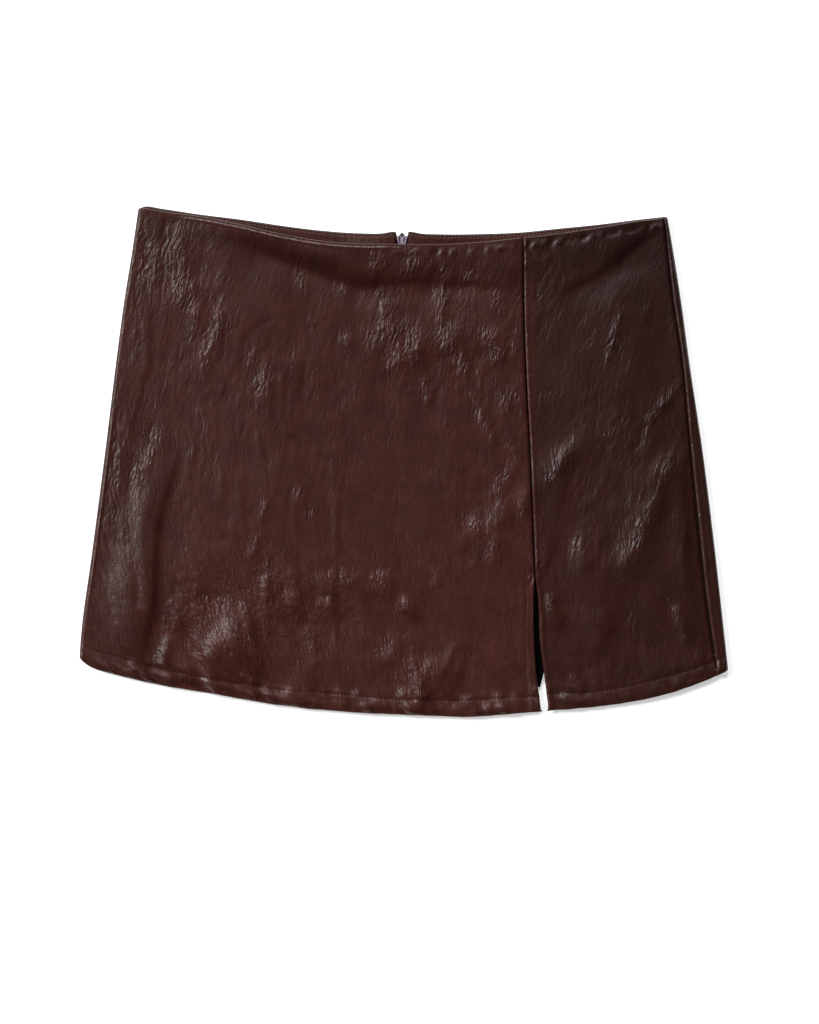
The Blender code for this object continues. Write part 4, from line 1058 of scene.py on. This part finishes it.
def fauxLeatherMaterial():
    # Polyurethane film on a knit backing, embossed and wet-crumpled: a satin red-brown skin with soft upright
    # streaks and crossing fine creases, whose pebble glints where a fold faces the light.
    finish = {
        "base": "#3a1912",
        "dark": "#32140e",
        # lighter colour for rubbed edges; it also paints highlights along the edges and the waist ridge
        "wornAndHighlight": "#4b2a24",
        "wornGloss": -0.2,
        "gloss": (0.36, 0.48),
        "streak": (2.6, 10.0),  # width and length in mm, as for those below
        "streakDepth": 0.12,
        "crease": (5.2, 17.0),  # thin creases that cross each other
        "creaseDepth": 0.06,
        "creaseLean": 11.0,  # degrees to either side
        "creaseEdge": 0.15,  # how soft the sides of a crease are
        "net": (3.4, 5.2),  # cells of the crinkle where the surface is tightest
        "netDepth": 0.1,
        "netEdge": 0.24,
        "wrinkle": (3.4, 12.0),  # coarser wrinkles in the same places
        "wrinkleDepth": 1.3,
        "fine": (0.9, 1.5),
        "fineDepth": 0.06,
        "pebble": 1.3,  # mm; the real grain is about half of this, too fine to show
        "pebbleDepth": 0.04,
        "patch": 30.0,  # the crumple gathers in patches of this size
        "calm": 0.15,  # share of the crumple between the patches
        "lively": 1.1,
        "tightGain": 1.3,
        "drift": 14.0,  # slow change of tint, which also bends the patterns
        "bend": 6.0,
    }
    material, tree, shader = newMaterial("Polyurethane faux leather, crumpled", 0.34, 0.36, 1.45)
    spot = inMillimetres(tree, "streaks")
    drift = addNode(tree, "ShaderNodeTexNoise", {"Vector": spot, "Scale": 1 / finish["drift"], "Detail": 2.0},
                    noise_dimensions="2D")
    shift = addNode(tree, "ShaderNodeVectorMath", {0: drift.outputs["Color"], 1: (0.5, 0.5, 0.5)}, operation="SUBTRACT")
    shift = addNode(tree, "ShaderNodeVectorMath", {0: shift, "Scale": finish["bend"]}, operation="SCALE")
    bent = addNode(tree, "ShaderNodeVectorMath", {0: spot, 1: shift}, operation="ADD")

    def drawnOut(pattern, kind, inputs, turn=0.0, size=1.0, **settings):
        # a texture that is drawn out along the cloth to its own width and length
        width, length = finish[pattern]
        at = addNode(tree, "ShaderNodeMapping", {"Vector": bent, "Rotation": (0, 0, math.radians(turn)),
                                                 "Scale": (1 / (size * width), 1 / (size * length), 1)})
        return addNode(tree, kind, {"Vector": at, "Scale": 1.0, **inputs}, **settings)

    def fromMiddle(pattern, turn=0.0, size=1.0):
        # nothing along thin lines, and more to either side of them
        lines = drawnOut(pattern, "ShaderNodeTexNoise", {"Detail": 1.0}, turn, size, noise_dimensions="2D")
        off = addNode(tree, "ShaderNodeMath", {0: lines, 1: 0.5}, operation="SUBTRACT")
        return addNode(tree, "ShaderNodeMath", {0: off}, operation="ABSOLUTE")

    streak = drawnOut("streak", "ShaderNodeTexNoise", {"Detail": 1.5}, noise_dimensions="2D")
    fine = drawnOut("fine", "ShaderNodeTexNoise", {"Detail": 2.0}, 12, noise_dimensions="2D")
    creases = []
    for way, size in ((-1, 1.0), (1, 1.35)):
        off = fromMiddle("crease", way * finish["creaseLean"], size)
        creases.append(addNode(tree, "ShaderNodeMapRange", {"Value": off, "From Max": finish["creaseEdge"]},
                               interpolation_type="SMOOTHSTEP"))
    crease = addNode(tree, "ShaderNodeMath", {0: creases[0], 1: creases[1]}, operation="ADD")
    grain = addNode(tree, "ShaderNodeTexVoronoi", {"Vector": bent, "Scale": 1 / finish["pebble"]},
                    voronoi_dimensions="2D", feature="SMOOTH_F1")
    net = drawnOut("net", "ShaderNodeTexVoronoi", {}, -8, voronoi_dimensions="2D", feature="DISTANCE_TO_EDGE")
    cells = addNode(tree, "ShaderNodeMapRange", {"Value": net, "From Max": finish["netEdge"]},
                    interpolation_type="SMOOTHSTEP")
    tight, wornAndHighlight, tone = [addNode(tree, "ShaderNodeAttribute", attribute_name=name).outputs["Fac"]
                         for name in ("crinkle", "wear", "tone")]
    cells, wrinkle = [addNode(tree, "ShaderNodeMath", {0: layer, 1: tight}, operation="MULTIPLY")
                      for layer in (cells, fromMiddle("wrinkle"))]
    patches = addNode(tree, "ShaderNodeTexNoise", {"Vector": spot, "Scale": 1 / finish["patch"], "Detail": 2.0},
                      noise_dimensions="2D")
    patch = addNode(tree, "ShaderNodeMapRange", {"Value": patches, "From Min": 0.35, "From Max": 0.65,
                                                 "To Min": finish["calm"], "To Max": finish["lively"]})
    patch = addNode(tree, "ShaderNodeMath", {0: tight, 1: finish["tightGain"], 2: patch}, operation="MULTIPLY_ADD")
    height = addNode(tree, "ShaderNodeMath", {0: crease, 1: finish["creaseDepth"]}, operation="MULTIPLY")
    height = addNode(tree, "ShaderNodeMath", {0: fine, 1: finish["fineDepth"], 2: height}, operation="MULTIPLY_ADD")
    height = addNode(tree, "ShaderNodeMath", {0: height, 1: patch}, operation="MULTIPLY")
    for layer, name in ((cells, "net"), (wrinkle, "wrinkle"), (streak, "streak"), (grain, "pebble")):
        height = addNode(tree, "ShaderNodeMath", {0: layer, 1: finish[name + "Depth"], 2: height},
                         operation="MULTIPLY_ADD")
    bump = addNode(tree, "ShaderNodeBump", {"Height": height, "Strength": 1.0, "Distance": mm})
    tint = addNode(tree, "ShaderNodeMapRange", {"Value": drift, "From Min": 0.3, "From Max": 0.7})
    color = addNode(tree, "ShaderNodeMix", {0: tint, 6: linear(finish["dark"]), 7: linear(finish["base"])},
                    data_type="RGBA")
    color = addNode(tree, "ShaderNodeMix", {0: wornAndHighlight, 6: color.outputs[2], 7: linear(finish["wornAndHighlight"])}, data_type="RGBA")
    # painted light and shade from the attribute scale the colour
    color = addNode(tree, "ShaderNodeVectorMath", {0: color.outputs[2], "Scale": tone}, operation="SCALE")
    gloss = addNode(tree, "ShaderNodeMapRange", {"Value": fine, "From Min": 0.3, "From Max": 0.7,
                                                 "To Min": finish["gloss"][0], "To Max": finish["gloss"][1]})
    gloss = addNode(tree, "ShaderNodeMath", {0: wornAndHighlight, 1: finish["wornGloss"], 2: gloss}, operation="MULTIPLY_ADD")
    setInputs(tree, shader, {"Base Color": color, "Normal": bump, "Roughness": gloss})
    return material


def backingMaterial():
    # Brushed knit polyester behind the film: a dull brown face with fine upright ribs.
    finish = {"shades": ("#2a1a17", "#3b2622"), "rib": 1.4}  # mm, twice the real rib so that it shows
    material, tree, shader = newMaterial("Polyester knit backing, brushed", 0.9)
    spot = inMillimetres(tree, "cloth")
    rib = addNode(tree, "ShaderNodeTexWave", {"Vector": spot, "Scale": waveScale / finish["rib"], "Distortion": 1.2,
                                              "Detail": 2.0, "Detail Scale": 2.0}, bands_direction="X")
    fuzz = addNode(tree, "ShaderNodeTexNoise", {"Vector": spot, "Scale": 0.8, "Detail": 4.0}, noise_dimensions="2D")
    height = addNode(tree, "ShaderNodeMath", {0: rib.outputs["Fac"], 1: fuzz}, operation="ADD")
    patterned(tree, shader, fuzz, finish["shades"], height, 0.6, 0.2)
    return material


def wovenMaterial(name, roughness, specular, shades, waves, depth):
    # two crossing rows of waves, each with its direction, its pitch in mm and how far it wanders
    material, tree, shader = newMaterial(name, roughness, specular)
    spot = inMillimetres(tree, "cloth")
    rows = [addNode(tree, "ShaderNodeTexWave", {"Vector": spot, "Scale": waveScale / pitch, "Distortion": wander},
                    bands_direction=way).outputs["Fac"] for way, pitch, wander in waves]
    weave = addNode(tree, "ShaderNodeMath", {0: rows[0], 1: rows[1]}, operation="MULTIPLY")
    patterned(tree, shader, weave, shades, weave, 0.7, depth)
    return material


def threadMaterial(name, shades, shine):
    # Spun polyester thread with a twisted pattern, in two copies of one thread: a darker one with painted shade for
    # rows pulled down into the film, a lighter one with painted highlight for the topstitch that lies on top.
    twistPitch = 0.5  # mm
    material, tree, shader = newMaterial(name, 0.7, shine)
    twist = addNode(tree, "ShaderNodeTexWave", {"Vector": inMillimetres(tree), "Scale": waveScale / twistPitch},
                    bands_direction="DIAGONAL").outputs["Fac"]
    patterned(tree, shader, twist, shades, twist, 0.5, 0.08)
    return material


def cloudedMaterial(name, scale, detail, shades, **values):
    material, tree, shader = newMaterial(name, **values)
    place = addNode(tree, "ShaderNodeTexCoord").outputs["Object"]
    cloud = addNode(tree, "ShaderNodeTexNoise", {"Vector": place, "Scale": scale, "Detail": detail})
    patterned(tree, shader, cloud, shades)
    return material


def paintedZinc(name, shades):
    # Die-cast zinc under a thin lilac-grey paint: soft metallic sheen, slightly uneven.
    material, tree, shader = newMaterial(name, 0.34, metallic=0.55)
    cloud = addNode(tree, "ShaderNodeTexNoise", {"Vector": inMillimetres(tree), "Scale": 0.9, "Detail": 4.0})
    patterned(tree, shader, cloud, shades, cloud, 0.3, 0.06)
    gloss = addNode(tree, "ShaderNodeMapRange", {"Value": cloud, "To Min": 0.26, "To Max": 0.44})
    setInputs(tree, shader, {"Roughness": gloss})
    return material


fauxLeather = fauxLeatherMaterial()
backing = backingMaterial()
# Cotton and elastane jersey, knitted and dyed black: matt, with columns of tiny V stitches about twice the real size.
# Its colour is set darker than black cloth, which also paints the shade inside the slit.
jersey = wovenMaterial("Jersey knit, dyed black and darkened as painted shade", 0.88, 0.03, ("#020202", "#060506"),
                       [("X", 1.2, 0.4), ("Y", 0.96, 0.0)], 0.25)
# Woven polyester zip tape: a flat dark brown ribbon with a close herringbone.
tapeWeave = wovenMaterial("Polyester zip tape, woven", 0.85, 0.15, ("#250e0b", "#3d1a15"),
                          [("DIAGONAL", 1.1, 0.0), ("X", 1.1, 0.0)], 0.2)
# one thread in two copies: darker with painted shade for sunk rows, lighter with painted highlight for the topstitch
thread = threadMaterial("Polyester sewing thread, shaded copy with painted shade", ("#25100c", "#3a1b15"), 0.25)
litThread = threadMaterial("Polyester topstitch thread, lit copy with painted highlight", ("#6e4840", "#a07a72"), 0.4)
# Punched needle holes in the film, drawn as small dark discs on the surface: painted shade.
needleHoleShade = cloudedMaterial("Faux leather, needle holes in painted shade", 900.0, 2.0, ("#0c0403", "#190906"), roughness=0.95,
                             specular=0.1)
# Nylon monofilament, coiled and dyed: smooth, half glossy brown.
nylon = cloudedMaterial("Nylon zip coil, dyed brown", 400.0, 3.0, ("#21110e", "#3a201a"), roughness=0.35, ior=1.53)
zinc = paintedZinc("Zinc zip slider, lilac-grey paint", ("#8d7f92", "#c4b6c6"))
# painted shade: a darker copy of the same paint for the recesses
recessShadeZinc = paintedZinc("Zinc zip slider, recesses in shade", ("#382638", "#5a465c"))
print("materials ready")

# The cut pieces
frontWaist = (frontEdge["waistRoll"], frontEdge["waistDepth"])
frontWide = leatherPanel("frontWide", "left", wideStart, wideEnd, wideColumns, frontRows, rollAt("under"),
                         rollAt("wide", slitRoll), frontWaist)
frontNarrow = leatherPanel("frontNarrow", "right", narrowStart, narrowEnd, narrowColumns, frontRows,
                           rollAt("narrow", slitRoll), rollAt("side"), frontWaist)
backRight = leatherPanel("backRight", "right", backRightStart, lambda y: zipEdge("right", y), backRightColumns,
                         backRows, rollAt("back"), rollAt("zip"), frontEdge["backWaistRoll"])
backLeft = leatherPanel("backLeft", "left", lambda y: wideStart(y) - gap, lambda y: zipEdge("left", y),
                        backLeftColumns, backRows, rollAt("under"), rollAt("zip"), frontEdge["backWaistRoll"])
inner = {}
for side in ("left", "right"):
    points, places, tone = facingPoints(side)
    inner["facing", side] = gridMesh(f"backFacing.{side}", points, places, fauxLeather, wall, lining=backing, tone=tone)
    for layer, top in (("Back", shortsBackTop), ("Front", shortsFrontTop)):
        points, places = shortsPoints(side, top, layer == "Front")
        inner[layer, side] = gridMesh(f"shorts{layer}.{side}", points, places, jersey, layers["jersey"])
    points, places = tapePoints(side)
    inner["tape", side] = gridMesh(f"zipTape.{side}", points, places, tapeWeave, layers["tape"])
print("cloth pieces ready")


# Sewing
stitching = {
    "pitch": 2.55,
    "length": 1.3,
    "width": 0.5,
    "rise": 0.04,
    "hole": 1.05,
    "backRise": -0.35,
    "topRise": 0.12,
    "topWidth": 0.6,
    "sample": 1.2,  # how close together the points of a row are looked up
}


def newTree(name, sizes, materials):
    # a Geometry Nodes tree with its inputs named, and the line that it follows
    tree = bpy.data.node_groups.new(name, "GeometryNodeTree")
    sockets = [("Geometry", "Geometry")] + [(each, "Float") for each in sizes]
    for socket, kind in sockets + [(each, "Material") for each in materials]:
        tree.interface.new_socket(socket, in_out="INPUT", socket_type="NodeSocket" + kind)
    tree.interface.new_socket("Geometry", in_out="OUTPUT", socket_type="NodeSocketGeometry")
    given = addNode(tree, "NodeGroupInput").outputs
    return tree, given, addNode(tree, "GeometryNodeMeshToCurve", {"Mesh": given["Geometry"]})


def madeReal(tree, copies, material):
    real = addNode(tree, "GeometryNodeRealizeInstances", {"Geometry": copies})
    smooth = addNode(tree, "GeometryNodeSetShadeSmooth", {"Geometry": real})
    return addNode(tree, "GeometryNodeSetMaterial", {"Geometry": smooth, "Material": material})


def stitchTree():
    # a row of stitches along a line of edges: a thread bead for each pitch, and between two a dark disc that paints the
    # shade of a needle hole
    tree, given, line = newTree("Stitch row", ["Pitch", "Length", "Width", "Rise", "Hole"], ["Thread", "Hole material"])
    half = addNode(tree, "ShaderNodeMath", {0: given["Pitch"], 1: 0.5}, operation="MULTIPLY")
    shifted = addNode(tree, "GeometryNodeTrimCurve", {"Curve": line, 2: half}, mode="LENGTH")
    outward = addNode(tree, "GeometryNodeInputNamedAttribute", {"Name": "outward"}, data_type="FLOAT_VECTOR")
    tangent = addNode(tree, "GeometryNodeInputTangent")
    turn = addNode(tree, "FunctionNodeAxesToRotation", {"Primary Axis": outward, "Secondary Axis": tangent},
                   primary_axis="Z", secondary_axis="X")
    bead = addNode(tree, "GeometryNodeMeshUVSphere", {"Segments": 8, "Rings": 5, "Radius": 0.5})
    dot = addNode(tree, "GeometryNodeMeshCylinder", {"Vertices": 8, "Radius": 0.5, "Depth": 0.3})
    beadSize = addNode(tree, "ShaderNodeCombineXYZ", {0: given["Length"], 1: given["Width"], 2: given["Width"]})
    dotSize = addNode(tree, "ShaderNodeCombineXYZ", {i: given["Hole"] for i in range(3)})
    lift = addNode(tree, "ShaderNodeCombineXYZ", {2: given["Rise"]})
    parts = []
    for curve, shape, size, material in ((shifted, bead, beadSize, "Thread"), (line, dot, dotSize, "Hole material")):
        spots = addNode(tree, "GeometryNodeResampleCurve", {"Curve": curve, "Length": given["Pitch"]}, mode="LENGTH")
        copies = addNode(tree, "GeometryNodeInstanceOnPoints", {"Points": spots, "Instance": shape, "Rotation": turn,
                                                                "Scale": size})
        raised = addNode(tree, "GeometryNodeTranslateInstances", {"Instances": copies, "Translation": lift,
                                                                  "Local Space": True})
        parts.append(madeReal(tree, raised, given[material]))
    both = addNode(tree, "GeometryNodeJoinGeometry", {"Geometry": parts[0]})
    setInputs(tree, both, {"Geometry": parts[1]})
    addNode(tree, "NodeGroupOutput", {0: both})
    return tree


def grown(name, tree, lines, outwards, values):
    # runs a tree on lines of points in millimetres and keeps its result as a plain mesh
    points = np.concatenate(lines)
    starts = np.cumsum([0] + [len(line) for line in lines])
    edges = [(i, i + 1) for first, last in zip(starts[:-1], starts[1:]) for i in range(first, last - 1)]
    mesh = bpy.data.meshes.new(name)
    mesh.from_pydata((points * mm).tolist(), edges, [])
    facingOut = mesh.attributes.new("outward", "FLOAT_VECTOR", "POINT")
    facingOut.data.foreach_set("vector", np.concatenate(outwards).ravel())
    obj = placed(name, mesh)
    modifier = obj.modifiers.new("Grown", "NODES")
    modifier.node_group = tree
    for socket in tree.interface.items_tree:
        if socket.in_out == "INPUT" and socket.name in values:
            modifier[socket.identifier] = values[socket.name]
    result = bpy.data.meshes.new_from_object(obj.evaluated_get(bpy.context.evaluated_depsgraph_get()))
    obj.modifiers.remove(modifier)
    obj.data = result
    result.name = name
    bpy.data.meshes.remove(mesh)
    print(f"{name}: {len(result.polygons)} faces")
    return obj


def onSurface(piece, x, y, above=True):
    # points on a piece's outer face, above or below
    tree = BVHTree.FromObject(piece, bpy.context.evaluated_depsgraph_get())
    way = 1 if above else -1
    points, normals = [], []
    for px, py in zip(x, y):
        hit, normal = tree.ray_cast(Vector((px * mm, py * mm, way * 0.1)), Vector((0, 0, -way)))[:2]
        if hit:
            points.append(hit / mm)
            normals.append(normal)
    return np.array(points), np.array(normals)


def hemRow(piece, first, last):
    x = np.arange(first, last, stitching["sample"])
    return onSurface(piece, x, read(hem, "front", x) + read(hemStitch, "depth", x))


def backHemRow(piece, first, last):
    x = np.arange(first, last, stitching["sample"])
    return onSurface(piece, x, read(hem, "back", x) + backHemWander(x) + frontEdge["backRow"], False)


def slitRow(piece, panel, way, last):
    y = np.arange(-82.0, last, -stitching["sample"])
    return onSurface(piece, read(frontSeam, panel, y) + way * slitStitchAt(panel, y), y)


def facingRow(side, first, last):
    x = np.arange(first, last, stitching["sample"])
    return onSurface(inner["facing", side], x, read(waist, "back", x) - gap - facing["stitch"])


stitchRows = stitchTree()
sizes = {name.capitalize(): stitching[name] * mm for name in ("pitch", "length", "width", "rise", "hole")}
stitchValues = {**sizes, "Thread": thread, "Hole material": needleHoleShade}
leftEnd, rightEnd = float(read(sides, "left", -140.0)), float(read(sides, "right", -140.0))


def sewn(name, rows, **other):
    return grown(name, stitchRows, [r[0] for r in rows], [r[1] for r in rows], {**stitchValues, **other})


wideStitches = sewn("frontWideStitches", [hemRow(frontWide, leftEnd + 3, 95.0), slitRow(frontWide, "wide", -1, -161.0)])
narrowStitches = sewn("frontNarrowStitches", [hemRow(frontNarrow, 101.5, 216.5),
                                              slitRow(frontNarrow, "narrow", 1, -173.0)])
backRise = {"Rise": stitching["backRise"] * mm}
backStitches = {"left": sewn("backLeftStitches", [backHemRow(backLeft, leftEnd + 13, zipX - 3)], **backRise),
                "right": sewn("backRightStitches", [backHemRow(backRight, zipX + 3, rightEnd - 4)], **backRise)}
topStitch = {"Thread": litThread, "Rise": stitching["topRise"] * mm, "Width": stitching["topWidth"] * mm}
facingStitches = {"left": sewn("facingLeftStitches", [facingRow("left", -178.0, zipX - 7)], **topStitch),
                  "right": sewn("facingRightStitches", [facingRow("right", zipX + 7, 176.0)], **topStitch)}

# Zip coil
coil = {"pitch": 0.95, "wire": 0.4, "width": 0.8, "height": 0.7, "middle": 0.72, "z": 1.95}


def coilTree():
    # one loop of wire for each pitch along a line
    tree, given, line = newTree("Zip coil", ["Pitch", "Wire", "Width", "Height"], ["Material"])
    spots = addNode(tree, "GeometryNodeResampleCurve", {"Curve": line, "Length": given["Pitch"]}, mode="LENGTH")
    ring = addNode(tree, "GeometryNodeCurvePrimitiveCircle", {"Resolution": 8, "Radius": 0.5})
    size = addNode(tree, "ShaderNodeCombineXYZ", {0: given["Width"], 1: given["Height"], 2: 1.0})
    flat = addNode(tree, "GeometryNodeTransform", {"Geometry": ring, "Scale": size})
    upright = addNode(tree, "GeometryNodeTransform", {"Geometry": flat,
                                                      "Rotation": (math.radians(90), 0, math.radians(12))})
    half = addNode(tree, "ShaderNodeMath", {0: given["Wire"], 1: 0.5}, operation="MULTIPLY")
    wire = addNode(tree, "GeometryNodeCurvePrimitiveCircle", {"Resolution": 5, "Radius": half})
    loop = addNode(tree, "GeometryNodeCurveToMesh", {"Curve": upright, "Profile Curve": wire})
    copies = addNode(tree, "GeometryNodeInstanceOnPoints", {"Points": spots, "Instance": loop})
    addNode(tree, "NodeGroupOutput", {0: madeReal(tree, copies, given["Material"])})
    return tree


coilLines = []
for way in (-1, 1):
    y = np.arange(waistAtZip - zipPart["length"], zipPart["sliderY"] - 5.0, 1.9) + 0.25 * way * coil["pitch"]
    x = zipX + way * coil["middle"] + 0 * y
    coilLines.append(np.stack([x, y, coil["z"] + zipLift(x, y)], -1))
coilSizes = {name.capitalize(): coil[name] * mm for name in ("pitch", "wire", "width", "height")}
zipCoil = grown("zipCoil", coilTree(), coilLines, [0 * line for line in coilLines], {**coilSizes, "Material": nylon})
zipSlider, zipPullTab = sliderPiece(), pullTabPiece()

# Who rides on what, and what each piece stands for
standsFor = [(frontWide, "front_wide"), (frontNarrow, "front_narrow"), (backRight, "back_right"),
             (backLeft, "back_left")]
for side in ("left", "right"):
    standsFor += [(inner["facing", side], f"back_facing_{side}"), (inner["Back", side], f"shorts_back_{side}"),
                  (inner["Front", side], f"shorts_front_{side}"), (inner["tape", side], f"zip_tape_{side}")]
for piece, node in standsFor:
    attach(piece, "garment")
    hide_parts(node)
for piece in (wideStitches, narrowStitches, *backStitches.values(), *facingStitches.values()):
    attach(piece, "garment")
for piece, body, node in ((zipSlider, "garment", "zip_slider"), (zipPullTab, "pull_tab", "zip_pull_tab")):
    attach(piece, body)
    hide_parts(node)
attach(zipCoil, "garment")

# Each cloth piece, what it lies on, and its stitches
liesOn = [(frontWide, ["shortsFront.left", "shortsFront.right"], [wideStitches]),
          (frontNarrow, ["shortsFront.right"], [narrowStitches]),
          (backLeft, ["floor"], [backStitches["left"]]), (backRight, ["floor"], [backStitches["right"]])]
for side, back in (("left", "backLeft"), ("right", "backRight")):
    liesOn += [(inner["facing", side], [back], [facingStitches[side]]), (inner["Back", side], [back], []),
               (inner["Front", side], [f"shortsBack.{side}"], []), (inner["tape", side], [back], [])]

# Floor, lights and camera
stage = {
    "floor": 3.0,
    "shades": ("#fcfcfc", "#fefefe"),
    "glow": 0.5,  # the sweep is lit from below as well
    "world": 0.05,
    "key": (157, 40, 6.0, 2.1, 405),  # azimuth, elevation, distance, size, power
    "top light": (90, 34, 5.0, 1.6, 175),
}
bpy.ops.mesh.primitive_plane_add(size=2 * stage["floor"], location=(0, 0, -0.0004))
floor = bpy.context.object
floor.name = "floor"
paper, tree, shader = newMaterial("Matt acrylic table, lit from below", 0.95, 0.0)
place = addNode(tree, "ShaderNodeTexCoord").outputs["Object"]
mottle = addNode(tree, "ShaderNodeTexNoise", {"Vector": place, "Scale": 3.0})
patterned(tree, shader, mottle, stage["shades"])
setInputs(tree, shader, {"Emission Color": (1, 1, 1, 1), "Emission Strength": stage["glow"]})
floor.data.materials.append(paper)

world = bpy.data.worlds.new("Soft studio")
bpy.context.scene.world = world
world.use_nodes = True
setInputs(world.node_tree, world.node_tree.nodes["Background"], {"Color": (1, 1, 1, 1), "Strength": stage["world"]})

for name in ("key", "top light"):
    # azimuth is counted from the right, turning towards the waist
    azimuth, elevation, distance, size, power = stage[name]
    a, e = math.radians(azimuth), math.radians(elevation)
    data = bpy.data.lights.new(name, "AREA")
    data.shape = "SQUARE"
    data.size = size
    data.energy = power
    light = placed(name, data)
    light.location = (distance * math.cos(e) * math.cos(a), distance * math.cos(e) * math.sin(a),
                      distance * math.sin(e))
    light.rotation_euler = (math.pi / 2 - e, 0, a + math.pi / 2)

view = {"x": 4.2, "y": -35.2, "height": 4000.0, "lens": 200.6}
camera = placed("camera", bpy.data.cameras.new("camera"))
camera.location = (view["x"] * mm, view["y"] * mm, view["height"] * mm)
camera.data.lens = view["lens"]
camera.data.sensor_fit = "VERTICAL"
camera.data.sensor_width = camera.data.sensor_height = 36
camera.data.dof.use_dof = False
bpy.context.scene.camera = camera
bpy.context.scene.view_settings.view_transform = "Standard"
